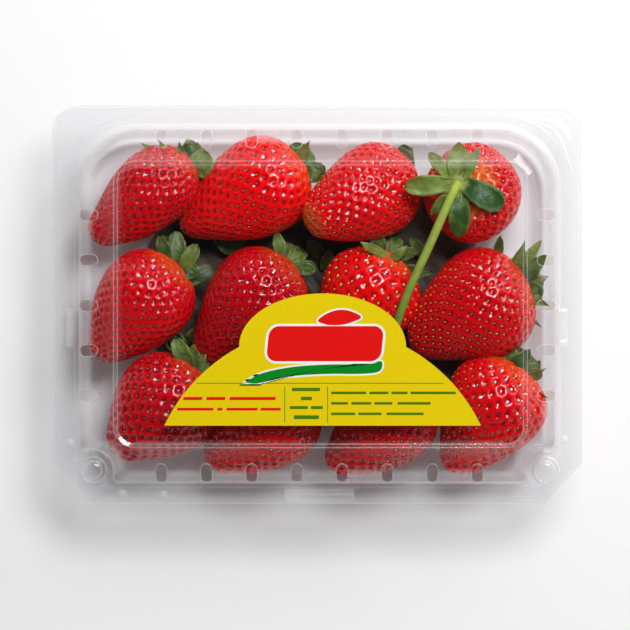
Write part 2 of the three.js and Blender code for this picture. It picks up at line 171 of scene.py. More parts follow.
# %% Room and table
world = bpy.data.worlds.new("studio")
sky = Shading(world)
aim = sky.add("SeparateXYZ", {0: sky.add("TexCoord", out="Generated")}).node.outputs
room = sky.ramp(aim["Z"], (0.55, (0.46, 0.46, 0.47)), (0.92, (0.12, 0.12, 0.12)))
low_band = sky.ramp(aim["Z"], (0.10, (0.50, 0.50, 0.51)), (0.30, (0, 0, 0)))
seen = sky.mix(sky.add("LightPath", out="Is Glossy Ray"), room, low_band)
towards_lamps = sky.times_plus(aim["Y"], 0.32, sky.times_plus(aim["X"], 0.28, 0.92))
sky.add("OutputWorld", {"Surface": sky.add("Background", {"Color": seen, "Strength": towards_lamps})})
bpy.context.scene.world = world


def new_object(name, points, faces, material):
    """A smooth mesh object from points in millimetres."""
    mesh = bpy.data.meshes.new(name)
    mesh.from_pydata((np.asarray(points) * 0.001).tolist(), [], [list(f) for f in faces])
    mesh.update()
    mesh.shade_smooth()
    mesh.materials.append(material)
    return linked(name, mesh)


TABLE_HALF, TABLE_Z = 3000, -0.4
matt = paint("white_table")
white_table = matt.finished(matt.add("BsdfDiffuse", {"Color": (0.86, 0.86, 0.86, 1)}))
corners = [(x * TABLE_HALF, y * TABLE_HALF, TABLE_Z) for x, y in ((-1, -1), (1, -1), (1, 1), (-1, 1))]
table = new_object("white_table", corners, [(0, 1, 2, 3)], white_table)
print("camera height, m:", round(camera.location.z, 3))

# %% [markdown]
# ## The clear sheet
# Tray and lid are pressed from one thin clear plastic. Light goes straight through such a thin sheet, so it
# needs no bending of rays: it is mostly a Transparent shader, mixed with a sharp gloss that grows at a slant.
# A rule like Schlick's gives that share from Layer Weight: a few hundredths square on and nearly all at a
# grazing look. Faint waves in the gloss come from the pressing. Where the sheet was bent it is made milky
# white. A little of that is the bent sheet's own haze, and the rest is painted highlight: the bright lines
# that real bends show by bending and mirroring light. Each point of the mesh carries how much.


# %% Clear plastic
FACE_ON_GLOSS, GLOSS_GROWTH = 0.03, 4.2


def clear_plastic(name, tint, veil, bend_milk_and_highlight):
    sheet = paint(name)
    fold_milk_and_highlight, waves = sheet.carried("fold_milk_and_highlight"), sheet.noise(70.0, 2.0)
    scuffed = sheet.ranged(sheet.noise(260.0, 3.0), 0.03, 0.10)
    clear = sheet.add("BsdfTransparent", {"Color": (*tint, 1)})
    soft = sheet.times_plus(fold_milk_and_highlight, 0.25, scuffed)
    gloss = sheet.add("BsdfGlossy", {"Color": (1, 1, 1, 1), "Roughness": soft,
                                     "Normal": sheet.bump(waves, 0.05, 0.002)})
    slant = sheet.add("LayerWeight", {"Blend": 0.5}, out="Facing")
    steep = sheet.add("Math", {0: slant, 1: GLOSS_GROWTH}, operation="POWER")
    share = sheet.times_plus(steep, 1 - FACE_ON_GLOSS, FACE_ON_GLOSS)
    mirrored = sheet.add("MixShader", {0: share, 1: clear, 2: gloss})
    # Along the bends this milk is turned up into painted highlight, white lines for the light that real bends
    # bend and mirror.
    milk_and_highlight = sheet.add("BsdfDiffuse", {"Color": (0.90, 0.92, 0.94, 1)})
    haze_and_highlight_share = sheet.times_plus(fold_milk_and_highlight, bend_milk_and_highlight, sheet.ranged(waves, veil * 0.5, veil * 1.5))
    return sheet.finished(sheet.add("MixShader", {0: haze_and_highlight_share, 1: mirrored, 2: milk_and_highlight}))


tray_plastic = clear_plastic("tray_plastic", (0.984, 0.989, 0.993), 0.004, 0.25)
lid_plastic = clear_plastic("lid_plastic", (0.986, 0.990, 0.993), 0.001, 0.30)
if hasattr(bpy.context.scene, "cycles"):
    bpy.context.scene.cycles.transparent_max_bounces = 24

# %% [markdown]
# ## The outlines
# Both sheets are a stack of outlines: rounded rectangles that are hollowed at the two front
# corners, where the snap buttons stand. An outline is found by walking outwards from the middle
# in fixed directions until the form ends. With the same directions for every outline, they join
# one to the next, and a soft bend is a few extra outlines on a short curve.

# %% Sizes, in millimetres
SHEET = 0.6
GAP = 0.3
TRAY_RIM_Z = 33.4
LID_RIM_Z = TRAY_RIM_Z + GAP + SHEET
SHOULDER_Z = 48.3
CREST_Z = 51.9
TOP_Z = 51.2
RIM = dict(half_x=108.6, front_y=-81.8, round=9.8, cut_x=15.4, cut_y=16.8)
HINGE = dict(y=81.4, z=TRAY_RIM_Z + GAP / 2, radius=0.37, half_length=97.0)
TRAY_BACK_Y = 81.3
LID_BACK_Y = 80.6
DOME = dict(half_x=98.2, half_y=73.0, x=0.2, y=-0.6, back=24.6, front=7.0, notch=7.6)
PLATEAU = dict(half_x=84.3, half_y=58.4, x=1.4, y=0.0, back=8.6, front=8.6, notch=0.0)
BUTTONS = [(-91.6, -67.8), (93.8, -67.8)]
NOTCH_BLEND = 4
NEAREST_EDGE, FARTHEST_EDGE, HALVINGS = 40.0, 140.0, 40

corner_ends = [math.degrees(math.atan2(RIM["front_y"] + RIM["cut_y"], RIM["half_x"])),
               math.degrees(math.atan2(RIM["front_y"], RIM["half_x"] - RIM["cut_x"]))]
fine = [*np.arange(0, 22, 1.0), *np.arange(22, 50, 0.4), *np.arange(50, 90.1, 1.0)]
right_half = [*fine, *(-a for a in fine[1:]), *corner_ends]
DIRECTIONS = np.radians(sorted({round(float(turn) % 360, 4) for a in right_half for turn in (a, 180 - a)}))
print("directions in an outline:", len(DIRECTIONS))


# %% How far a point lies outside a form
def rounded_rectangle(dx, dy, half_x, half_y, round_by):
    qx = np.abs(dx) - half_x + round_by
    qy = np.abs(dy) - half_y + round_by
    return np.minimum(np.maximum(qx, qy), 0) + np.hypot(np.maximum(qx, 0), np.maximum(qy, 0)) - round_by


def outside_form(form, x, y):
    dx, dy = x - form["x"], y - form["y"]
    round_by = np.where(dy > 0, form["back"], form["front"])
    far = rounded_rectangle(dx, dy, form["half_x"], form["half_y"], round_by)
    if form["notch"] > 0:
        for bx, by in BUTTONS:
            hollow = form["notch"] - np.hypot(x - bx, y - by)
            close = np.maximum(NOTCH_BLEND - np.abs(far - hollow), 0) / NOTCH_BLEND
            far = np.maximum(far, hollow) + close * close
    return far


def outside_rim(back_y, x, y):
    middle, half_y = (back_y + RIM["front_y"]) / 2, (back_y - RIM["front_y"]) / 2
    far = rounded_rectangle(x, y - middle, RIM["half_x"], half_y, np.where(y > middle, RIM["round"], 0.0))
    share_of_cut = (np.abs(x) - RIM["half_x"]) / RIM["cut_x"] + (RIM["front_y"] - y) / RIM["cut_y"] + 1
    return np.maximum(far, share_of_cut * 10)


def level(x, y, z):
    """A ring of points from their places on the plan and one height, or one for each."""
    return np.stack([x, y, np.full(len(x), z)], axis=1)


def circle(count):
    return np.linspace(0, 2 * np.pi, count, endpoint=False)


def outline(form, z):
    """The outline of a dome form, or of a rim given as its back edge and how far inside it."""
    inner, outer = (np.full(len(DIRECTIONS), reach) for reach in (NEAREST_EDGE, FARTHEST_EDGE))
    cos, sin = np.cos(DIRECTIONS), np.sin(DIRECTIONS)
    for _ in range(HALVINGS):
        half = (inner + outer) / 2
        x, y = half * cos, half * sin
        far = outside_form(form, x, y) if isinstance(form, dict) else outside_rim(form[0], x, y) + form[1]
        inner, outer = np.where(far < 0, half, inner), np.where(far < 0, outer, half)
    return level(outer * cos, outer * sin, z)


def shrunk(form, by, notch=None):
    notch = form["notch"] if notch is None else notch
    return {**form, "half_x": form["half_x"] - by, "half_y": form["half_y"] - by,
            "back": max(form["back"] - by, 3), "front": max(form["front"] - by / 2, 3),
            "notch": notch + by if notch > 0 else 0}


def wider(form, by):
    return {**shrunk(form, -by, 0), "notch": form["notch"] - by}


# %% Soft bends and skins
def with_bends(outlines, reach, steps=5):
    """Replaces each outline whose reach isn't 0 by a short curve between its neighbours."""
    made = [outlines[0]]
    for i in range(1, len(outlines) - 1):
        if not reach[i]:
            made.append(outlines[i])
            continue
        back, ahead = outlines[i - 1] - outlines[i], outlines[i + 1] - outlines[i]
        long_back, long_ahead = (np.linalg.norm(v, axis=1, keepdims=True) for v in (back, ahead))
        step = np.minimum(reach[i], 0.45 * np.minimum(long_back, long_ahead))
        start, end = outlines[i] + back / long_back * step, outlines[i] + ahead / long_ahead * step
        for t in np.linspace(0, 1, steps + 1):
            made.append((1 - t) ** 2 * start + 2 * t * (1 - t) * outlines[i] + t ** 2 * end)
    return [*made, outlines[-1]]


def skin(outlines):
    """Points and faces of the closed body through outlines with equally many points."""
    count = len(outlines[0])
    points = np.concatenate([*outlines, [outlines[0].mean(axis=0)], [outlines[-1].mean(axis=0)]])
    here = np.arange(count)
    ahead = (here + 1) % count
    faces = []
    for start in range(0, (len(outlines) - 1) * count, count):
        a, b = start + here, start + ahead
        faces += np.stack([a, b, b + count, a + count], axis=1).tolist()
    first, last, end = len(points) - 2, len(points) - 1, (len(outlines) - 1) * count
    for j, k in zip(here.tolist(), ahead.tolist()):
        faces += [[first, k, j], [last, end + j, end + k]]
    return points, faces


def pressed_sheet(name, rows, material):
    """One sheet from (form, height, reach of its bend) rows, from its under middle to its top."""
    rings = [outline(form, z) for form, z, _ in rows]
    rings = [rings[0] * (0.97, 0.97, 1), *rings, rings[-1] * (0.97, 0.97, 1)]
    return new_object(name, *skin(with_bends(rings, [0, *(reach for _, _, reach in rows), 0])), material)


# %% [markdown]
# ## The lid
# The lid is one sheet: a flat rim with a low step along its edge and another round the dome's
# foot, a steep wall, a gentle slope up to a crest, and a flat top sunk a little inside it. Rows of
# upright slots are cut through the steep walls. The slots repeat, so a small Geometry Nodes tree
# makes a row of cutters, and a Boolean cuts them out. The snap buttons, the side lugs, the ribs
# and the pull tab are joined on in the same way, so the lid stays one body.


# %% Joining and cutting bodies
def baked(made, name=None):
    """The object's mesh with its modifiers worked in, as a plain mesh object."""
    graph = bpy.context.evaluated_depsgraph_get()
    mesh = bpy.data.meshes.new_from_object(made.evaluated_get(graph))
    made.modifiers.clear()
    made.data = mesh
    if name:
        made.name = mesh.name = name
    return made


def one_mesh(name, parts, material):
    """One mesh object from several (points, faces) that don't touch."""
    points, faces, start = [], [], 0
    for part_points, part_faces in parts:
        points.append(np.asarray(part_points, float))
        faces += [[start + i for i in face] for face in part_faces]
        start += len(part_points)
    return new_object(name, np.concatenate(points), faces, material)


def combine(body, other, operation):
    step = body.modifiers.new(operation.lower(), "BOOLEAN")
    step.object, step.operation, step.solver = other, operation, "MANIFOLD"
    baked(body)
    bpy.data.objects.remove(other)


def turned_body(profile, x, y, z, sides=40):
    """A turned body from (radius, height) pairs, closed flat at both ends."""
    turns = circle(sides)
    return skin([level(x + r * np.cos(turns), y + r * np.sin(turns), z + h) for r, h in profile])


def rounded_block(low, high, round_by, soften):
    """An upright block with rounded corners whose top edge is softened."""
    turns = circle(32)
    cos, sin = np.cos(turns), np.sin(turns)
    x, y = (low[0] + high[0]) / 2, (low[1] + high[1]) / 2
    rings = []
    for inset, z in [(0, low[2]), (0, high[2] - soften), (soften * 0.3, high[2] - soften * 0.3),
                     (soften, high[2])]:
        r = max(round_by - inset, 0.05)
        hx, hy = (high[0] - low[0]) / 2 - inset - r, (high[1] - low[1]) / 2 - inset - r
        rings.append(level(x + np.sign(cos) * hx + r * cos, y + np.sign(sin) * hy + r * sin, z))
    return skin(rings)


def soften_shading(made, angle):
    made.data.shade_smooth()
    made.data.set_sharp_from_angle(angle=math.radians(angle))


# %% A row of slot cutters, by Geometry Nodes
def geometry_tree(name, **inputs):
    """A new tree, the identifiers of its named inputs, and the sockets that they arrive at."""
    tree = bpy.data.node_groups.new(name, "GeometryNodeTree")
    named = {}
    for key, kind in inputs.items():
        socket = tree.interface.new_socket(name=key, in_out="INPUT", socket_type="NodeSocket" + kind)
        named[key] = socket.identifier
    tree.interface.new_socket(name="Geometry", in_out="OUTPUT", socket_type="NodeSocketGeometry")
    return tree, named, tree.nodes.new("NodeGroupInput").outputs


def close_tree(tree, points, shape, material, **more):
    """Sets a shape on every point, makes it real and gives it its material."""
    placed = wire(tree, "GeometryNodeInstanceOnPoints", {"Points": points, "Instance": shape, **more})
    real = wire(tree, "GeometryNodeRealizeInstances", {"Geometry": placed})
    finish = wire(tree, "GeometryNodeSetMaterial", {"Geometry": real, "Material": material})
    wire(tree, "NodeGroupOutput", {0: finish})


def run_tree(made, tree, named, name=None, **values):
    step = made.modifiers.new(tree.name, "NODES")
    step.node_group = tree
    for key, value in values.items():
        step[named[key]] = value
    return baked(made, name)


def slot_row_tree():
    tree, named, given = geometry_tree("row_of_slots", Count="Int", Pitch="Float", Width="Float",
                                       Length="Float", Depth="Float", Material="Material")
    shape = wire(tree, "GeometryNodeCurvePrimitiveQuadrilateral",
                 {"Width": given["Width"], "Height": given["Length"]})
    half = wire(tree, "ShaderNodeMath", {0: given["Width"], 1: 0.499}, operation="MULTIPLY")
    round_ends = wire(tree, "GeometryNodeFilletCurve", {"Curve": shape, "Radius": half, "Count": 6},
                      mode="POLY")
    face = wire(tree, "GeometryNodeFillCurve", {"Curve": round_ends}, mode="NGONS")
    raised = wire(tree, "GeometryNodeExtrudeMesh", {"Mesh": face, "Offset Scale": given["Depth"],
                                                    "Individual": False})
    both = tree.nodes.new("GeometryNodeJoinGeometry")
    for half_of_it in (raised, wire(tree, "GeometryNodeFlipFaces", {"Mesh": face})):
        tree.links.new(half_of_it, both.inputs[0])
    closed = wire(tree, "GeometryNodeMergeByDistance", {"Geometry": both.outputs[0], "Distance": 1e-6})
    step = wire(tree, "ShaderNodeCombineXYZ", {"X": given["Pitch"]})
    line = wire(tree, "GeometryNodeMeshLine", {"Count": given["Count"], "Offset": step})
    close_tree(tree, wire(tree, "GeometryNodeMeshToPoints", {"Mesh": line}), closed, given["Material"])
    return tree, named


SLOT_WIDTH, SLOT_LENGTH, SLOT_PITCH, CUTTER_DEPTH, CUTTER_Z = 4.5, 7.6, 18.45, 30.0, 28.0
slot_tree, slot_inputs = slot_row_tree()


def slot_row(count, first, across, along_x):
    made = run_tree(new_object("slot_cutters", [(0, 0, 0)], [], lid_plastic), slot_tree, slot_inputs,
                    Count=count, Pitch=SLOT_PITCH / 1000, Width=SLOT_WIDTH / 1000, Length=SLOT_LENGTH / 1000,
                    Depth=CUTTER_DEPTH / 1000, Material=lid_plastic)
    turn = Matrix.Identity(4) if along_x else Matrix.Rotation(math.pi / 2, 4, "Z")
    spot = (first, across, CUTTER_Z) if along_x else (across, first, CUTTER_Z)
    made.data.transform(Matrix.Translation(Vector(spot) / 1000) @ turn)
    return made


# %% The lid's sheet
SHOULDER_INSET, TOP_INSET = 5.4, 1.5
EDGE_STEP = 0.25
shoulder, flat_top = shrunk(DOME, SHOULDER_INSET), shrunk(PLATEAU, TOP_INSET)
lid = pressed_sheet("clear_lid", [
    (flat_top, TOP_Z - SHEET, 0.3), (PLATEAU, CREST_Z - SHEET, 0.3),
    (shrunk(shoulder, SHEET * 0.75), SHOULDER_Z - SHEET * 0.8, 3.6),
    (shrunk(DOME, SHEET), LID_RIM_Z - SHEET, 1.0), ((LID_BACK_Y, 0), LID_RIM_Z - SHEET, 0),
    ((LID_BACK_Y, 0), LID_RIM_Z - EDGE_STEP, 0), ((LID_BACK_Y, 2.1), LID_RIM_Z - EDGE_STEP, 0.15),
    ((LID_BACK_Y, 2.5), LID_RIM_Z, 0.15), ((LID_BACK_Y, 3.4), LID_RIM_Z, 0),
    (shrunk(DOME, -2.4), LID_RIM_Z, 0), (shrunk(DOME, -1.5), LID_RIM_Z, 0.3),
    (shrunk(DOME, -1.0), LID_RIM_Z + 0.6, 0.3), (shrunk(DOME, -0.1), LID_RIM_Z + 0.7, 0.3),
    (shoulder, SHOULDER_Z, 3.6), (PLATEAU, CREST_Z, 0.3), (flat_top, TOP_Z, 0.3)], lid_plastic)
print("lid sheet:", len(lid.data.polygons), "faces")

# %% Slots through the steep walls
clear_of_wall = SLOT_LENGTH / 2 + 0.9
slot_rows = [(8, -63.6, DOME["y"] + side * (DOME["half_y"] - clear_of_wall), True) for side in (-1, 1)]
slot_rows += [(5, -37.3, DOME["x"] + side * (DOME["half_x"] - clear_of_wall), False) for side in (-1, 1)]
for row in slot_rows:
    cutters = slot_row(*row)
    print("cutting", len(cutters.data.polygons), "cutter faces")
    combine(lid, cutters, "DIFFERENCE")

# %% Buttons, lugs, pull tab and dimples
low = LID_RIM_Z - SHEET / 2
BUTTON_OUTSIDE = [(5.7, -SHEET / 2), (5.7, 0.2), (5.55, 2.6), (5.3, 3.2), (4.8, 3.4), (4.3, 3.3), (3.7, 3.45),
                  (3.2, 3.9), (2.4, 4.2), (1.2, 4.35)]
BUTTON_INSIDE = [(5.1, -2), (5.0, 1.6), (4.6, 2.6)]
DIMPLE = [(1.9, -0.3), (1.8, 0.2), (1.4, 0.7), (0.8, 1.0)]
DIMPLES = [(-101.0, -56.8), (101.6, -55.4), (-79.8, -77.4), (-63.1, -78.0)]
LUG = dict(length=16.0, depth=4.6, height=5.2, y=-9.6, end=3.4, middle=2.6)
# The pull tab's blocks: two corners on the plan, height, rounding and softening.
PULL_TAB = [(-13.5, -81.6, 15.2, -75.4, 0.9, 0.8, 0.4), (-13.5, -78.7, 15.2, -77.5, 1.9, 0.5, 0.4),
            (-13.5, -81.4, -8.0, -78.0, 1.7, 0.6, 0.5), (14.2, -81.4, 15.2, -75.4, 1.7, 0.4, 0.3)]
front, back = LUG["y"] - LUG["length"] / 2, LUG["y"] + LUG["length"] / 2
blocks = []
for side in (-1, 1):
    left, right = sorted(DOME["x"] + side * (DOME["half_x"] + reach) for reach in (-0.3, LUG["depth"]))
    blocks += [(left, front + 1, right, back - 1, LUG["middle"], 0.6, 0.5),
               (left, front, right, front + LUG["end"], LUG["height"], 0.7, 0.8),
               (left, back - LUG["end"], right, back, LUG["height"], 0.7, 0.8)]
added = [turned_body(BUTTON_OUTSIDE, x, y, LID_RIM_Z) for x, y in BUTTONS]
added += [rounded_block((x0, y0, low), (x1, y1, LID_RIM_Z + height), round_by, soften)
          for x0, y0, x1, y1, height, round_by, soften in [*blocks, *PULL_TAB]]
added += [turned_body(DIMPLE, x, y, LID_RIM_Z, 24) for x, y in DIMPLES]
for points_faces in added:
    combine(lid, one_mesh("lid_addition", [points_faces], lid_plastic), "UNION")
hollows = [turned_body(BUTTON_INSIDE, x, y, LID_RIM_Z) for x, y in BUTTONS]
combine(lid, one_mesh("button_hollows", hollows, lid_plastic), "DIFFERENCE")
soften_shading(lid, 32)
print("lid:", len(lid.data.polygons), "faces after cutting and joining")

# %% Ribs round the back corners, and a lip round each slot
RIB = [(73.8, 78.0), (82.4, 76.4), (89.0, 73.6), (93.4, 70.9), (96.8, 67.6), (99.4, 64.4), (101.6, 60.4),
       (104.2, 54.6)]


def smooth_line(points, steps):
    """Points on a smooth line through the given ones."""
    p = np.array(points, float)
    p = np.concatenate([[2 * p[0] - p[1]], p, [2 * p[-1] - p[-2]]])
    made = []
    for i in range(1, len(p) - 2):
        for t in np.linspace(0, 1, steps, endpoint=False):
            a, b, c, d = p[i - 1:i + 3]
            made.append(0.5 * (2 * b + (c - a) * t + (2 * a - 5 * b + 4 * c - d) * t ** 2
                               + (3 * b - a - 3 * c + d) * t ** 3))
    return np.array([*made, p[-2]])


def unit(rows):
    return rows / np.linalg.norm(rows, axis=-1, keepdims=True)


def tube(points, radii, sides=16):
    """A closed tube along points, each with its own radius."""
    run = unit(np.gradient(points, axis=0))
    side = unit(np.cross(run, (0.05, 0.1, 1.0)))
    over = np.cross(side, run)
    turns = circle(sides)
    return skin([c + r * (np.cos(turns)[:, None] * s + np.sin(turns)[:, None] * o)
                 for c, r, s, o in zip(points, radii, side, over)])


for side in (-1, 1):
    line = smooth_line([(side * x, y, LID_RIM_Z + 0.05) for x, y in RIB], 6)
    taper = np.sin(np.pi * np.linspace(0.06, 0.94, len(line))) ** 0.5
    combine(lid, one_mesh("corner_rib", [tube(line, 0.55 * taper, 10)], lid_plastic), "UNION")


def wall_height(x, y):
    """How high the lid's outside is, from how far a point lies inside the dome's foot."""
    inside = -outside_form(DOME, x, y)
    return np.interp(inside, [0, SHOULDER_INSET * 0.75, SHOULDER_INSET, SHOULDER_INSET + 2.4, 13.8],
                     [LID_RIM_Z + 0.7, SHOULDER_Z - 3.6, SHOULDER_Z - 1.1, SHOULDER_Z + 0.6, CREST_Z])


def slot_lip(x, y, along_x, steps=36, sides=6, radius=0.15):
    """A thin closed loop on the lid's skin round one slot."""
    turns, round_it = circle(steps), circle(sides)[None, :, None]
    r, straight = SLOT_WIDTH / 2 + 0.12, (SLOT_LENGTH - SLOT_WIDTH) / 2
    u, v = r * np.cos(turns), r * np.sin(turns) + np.sign(np.sin(turns).round(6)) * straight
    px, py = (x + u, y + v) if along_x else (x + v, y + u)
    path = np.stack([px, py, wall_height(px, py)], axis=1)
    run = unit(np.roll(path, -1, axis=0) - np.roll(path, 1, axis=0))
    side = unit(np.cross(run, (0, 0, 1.0)))
    over = np.cross(side, run)
    rings = path[:, None] + radius * (np.cos(round_it) * side[:, None] + np.sin(round_it) * over[:, None])
    i, j = np.meshgrid(np.arange(steps), np.arange(sides), indexing="ij")
    k, m = (i + 1) % steps, (j + 1) % sides
    faces = np.stack([i * sides + j, i * sides + m, k * sides + m, k * sides + j], axis=-1).reshape(-1, 4)
    return rings.reshape(-1, 3), faces[:, ::1 if along_x else -1].tolist()


lips = []
for count, first, across, along_x in slot_rows:
    for along in first + SLOT_PITCH * np.arange(count):
        lips.append(slot_lip(*((along, across) if along_x else (across, along)), along_x))
slot_lips = one_mesh("slot_lips", lips, lid_plastic)
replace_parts(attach(slot_lips, "lid"), "lid")
print("slot lips:", len(lips))


# %% Milky folds, which also paint highlight lines on the bends
def give(made, name, values, kind="FLOAT"):
    """Lets each point of a mesh carry a value, which a material or a tree reads by its name."""
    field = "value" if kind == "FLOAT" else "vector"
    values = np.asarray(values, np.float32).ravel()
    made.data.attributes.new(name, kind, "POINT").data.foreach_set(field, values)


def points_of(made):
    flat = np.empty(len(made.data.vertices) * 3)
    made.data.vertices.foreach_get("co", flat)
    return flat.reshape(-1, 3) * 1000


def near(distance, width):
    """1 where a distance is 0, and 0 well past a width."""
    return np.exp(-(distance / width) ** 2)


def bends(at, rows):
    """Adds up bends given as how milky, the form, the offset from it, the height and the width; the milk
    paints highlight lines.
    """
    milky = 0
    for strength, form, offset, z, width in rows:
        aside = outside_form(form, at[:, 0], at[:, 1]) - offset
        milky = milky + strength * near(np.hypot(aside, at[:, 2] - z), width)
    return milky


EDGE_STEP_INSET, STEP_FOOT, BUTTON_RADIUS, DISH_RADIUS = 2.3, 1.7, 5.5, 3.6
at = points_of(lid)
# This milk along the bends, the rim edge and the flat rim is painted highlight over the sheet's slight haze.
lid_milk_and_highlight = bends(at, [(0.8, DOME, 1.2, LID_RIM_Z + 0.3, 0.5), (0.4, DOME, 0, LID_RIM_Z + 0.7, 0.3),
                      (0.18, DOME, -SHOULDER_INSET, SHOULDER_Z - 0.8, 0.8),
                      (0.9, PLATEAU, 0, CREST_Z, 0.2), (0.7, PLATEAU, -TOP_INSET, TOP_Z, 0.2)])
to_rim = outside_rim(LID_BACK_Y, at[:, 0], at[:, 1])
to_button = np.min([np.hypot(at[:, 0] - x, at[:, 1] - y) for x, y in BUTTONS], axis=0)
above_rim = at[:, 2] > LID_RIM_Z + 0.1
lid_milk_and_highlight += 0.4 * near(to_rim + EDGE_STEP_INSET, 0.2) + 0.2 * near(to_rim, 0.2)
# The rings round each button are painted highlight rings.
rings = 0.9 * near(to_button - BUTTON_RADIUS, 0.35) + 0.7 * near(to_button - DISH_RADIUS, 0.35)
off_the_dome = outside_form(DOME, at[:, 0], at[:, 1]) > STEP_FOOT
lid_milk_and_highlight += (rings + 0.5 * (off_the_dome & (to_button > BUTTON_RADIUS + 0.7))) * above_rim
give(lid, "fold_milk_and_highlight", np.clip(lid_milk_and_highlight, 0, 1))
# The lips round the slots are milky so that they paint white highlight arcs along the cut edges.
give(slot_lips, "fold_milk_and_highlight", np.full(len(slot_lips.data.vertices), 0.7))
print("folded points:", int((lid_milk_and_highlight > 0.3).sum()), "of", len(at))

# %% [markdown]
# ## The tray
# The tray is the same kind of sheet, turned the other way: a rim that the lid's rim lies on, a
# nearly upright wall, a rounded foot and a raised floor panel. Its snap posts stand in the lid's
# buttons, and the thin bead at the back is the fold that the lid swings about.

# %% The tray's sheet
TRAY_BEND_Z = 5.6
PANEL_Z = 1.5
SNAP_POST = [(3.4, -0.3), (3.4, 0), (3.1, 1.2), (2.6, 1.8)]
mouth = shrunk(DOME, 1.0, DOME["notch"])
bend = {**shrunk(DOME, 3.4), "notch": DOME["notch"] + 1.0 + 2.4 * 0.3}
foot = {**shrunk(DOME, 6.6), "notch": bend["notch"] + 2}
panel = {**shrunk(DOME, 14.0), "notch": bend["notch"] + 6}
tray = pressed_sheet("clear_tray", [
    (shrunk(panel, 1.4), PANEL_Z, 0.7), (panel, 0.0, 0.7), (foot, 0.0, 2.2),
    (wider(bend, SHEET), TRAY_BEND_Z - SHEET / 2, 2.2), (wider(mouth, SHEET), TRAY_RIM_Z - SHEET, 0.9),
    ((TRAY_BACK_Y, 0), TRAY_RIM_Z - SHEET, 0), ((TRAY_BACK_Y, 0), TRAY_RIM_Z, 0),
    ((TRAY_BACK_Y, 0.5), TRAY_RIM_Z, 0), (shrunk(mouth, -1.6), TRAY_RIM_Z, 0), (mouth, TRAY_RIM_Z, 0.9),
    (bend, TRAY_BEND_Z, 2.2), (shrunk(foot, SHEET / 2, foot["notch"]), SHEET, 2.2),
    (wider(panel, 0.3), SHEET, 0.7), (shrunk(panel, 1.1), PANEL_Z + SHEET, 0.7)], tray_plastic)
turns = circle(12)
bead = [np.stack([np.full(12, x), HINGE["y"] + HINGE["radius"] * np.cos(turns),
                  HINGE["z"] + HINGE["radius"] * np.sin(turns)], axis=1)
        for x in np.linspace(-HINGE["half_length"], HINGE["half_length"], 9)]
posts = [turned_body(SNAP_POST, x, y, TRAY_RIM_Z, 32) for x, y in BUTTONS]
for points_faces in [*posts, skin(bead)]:
    combine(tray, one_mesh("tray_addition", [points_faces], tray_plastic), "UNION")
soften_shading(tray, 32)
at = points_of(tray)
# Milk along the tray's bends and back edge: painted highlight over the sheet's slight haze.
tray_milk_and_highlight = bends(at, [(0.8, DOME, -1.0, TRAY_RIM_Z, 0.6), (0.3, DOME, -3.4, TRAY_BEND_Z, 1.5)])
tray_milk_and_highlight += 0.6 * near(outside_rim(TRAY_BACK_Y, at[:, 0], at[:, 1]), 0.2)
give(tray, "fold_milk_and_highlight", np.clip(tray_milk_and_highlight, 0, 1))
print("tray:", len(tray.data.polygons), "faces")

# %% [markdown]
# ## The berries
# A strawberry is nearly a cone with full shoulders and a rounded tip. Its skin swells between
# the seeds, so each seed sits in a pit and the raised skin makes a net. The seeds follow the
# plant's own rule, a turn of 137.5 degrees from one to the next, which spreads them evenly. The
# skin is a fine grid whose points sink by how near the closest seed is, so the pits are real
# hollows that catch the light, and not a bump effect.

# %% The twelve berries
# Each row says where a berry's tip and crown are on the plan, how wide it is, how thick against
# its width, how steeply it rises, where it is widest, how blunt its tip is and how high it lies.
# Then come its pits' spacing and depth in mm, how golden the seeds are, the skin, from 0 deep
# crimson to 1 orange red, and how pale its tip and its crown stayed.
REST_Z, LIE_CLEAR, SKIN_INSET = 2.4, 0.2, 0.3
GOLDEN_TURN = math.radians(137.508)
LUMPY, PACKED, CROWDED_AT_TIP, CROWDED_AT_CROWN = 0.25, 0.88, 1.18, 0.84
WORDS = ("tip", "crown", "width", "thick", "rise", "widest", "blunt", "lift", "pitch", "deep", "gold", "skin",
         "pale_tip", "pale_crown")
BERRIES = [dict(zip(WORDS, row)) for row in [
    ((-92.9, 26.4), (-51.2, 60.5), 34, 1, 8, .64, .32, 6, 3.75, .95, .15, .35, 0, .2),
    ((-56.6, 30.6), (-4.5, 58.2), 42.2, .92, 10, .66, .2, 4.5, 4.15, .8, .2, .95, 0, .2),
    ((-4.5, 33), (39.8, 55.1), 40.2, .94, -24, .62, .3, 4, 3.9, .9, .55, .6, .5, .2),
    ((72.6, 41.6), (58.8, 48.6), 42.2, .98, 70, .66, .2, 0, 4.1, 1, .45, .5, 0, 1),
    ((-91.4, -21.5), (-57.4, 17.8), 40.2, .96, 10, .62, .28, 4, 3.75, .9, .15, .4, 0, .3),
    ((-48, -22.8), (-10.7, 18.2), 42.2, .94, 10, .64, .24, 4, 4, .9, .1, .1, .1, .2),
    ((10.7, -17.8), (30.3, 21.9), 43, .84, 12, .56, .3, 2, 5.1, .85, .95, .8, 0, .4),
    ((37.7, -17.4), (87, 11.3), 46.7, .86, 8, .64, .24, 4.5, 4.1, .9, .55, .35, 0, .2),
    ((-85.3, -61.1), (-46.7, -28.1), 45.6, .88, 10, .64, .2, 4, 4.6, 1.15, .1, .3, .1, .2),
    ((-45.1, -66.2), (-2.5, -35.3), 42.2, .92, 10, .64, .24, 4, 4.2, .9, .6, .4, .1, .2),
    ((4.1, -67.6), (46.7, -37.1), 38.5, 1, 10, .64, .24, 4, 4.2, .9, .5, .35, .1, .2),
    ((54.1, -69.4), (83.8, -24.8), 44.3, .88, 10, .66, .18, 4, 4.5, 1, .65, .55, .1, .3),
]]
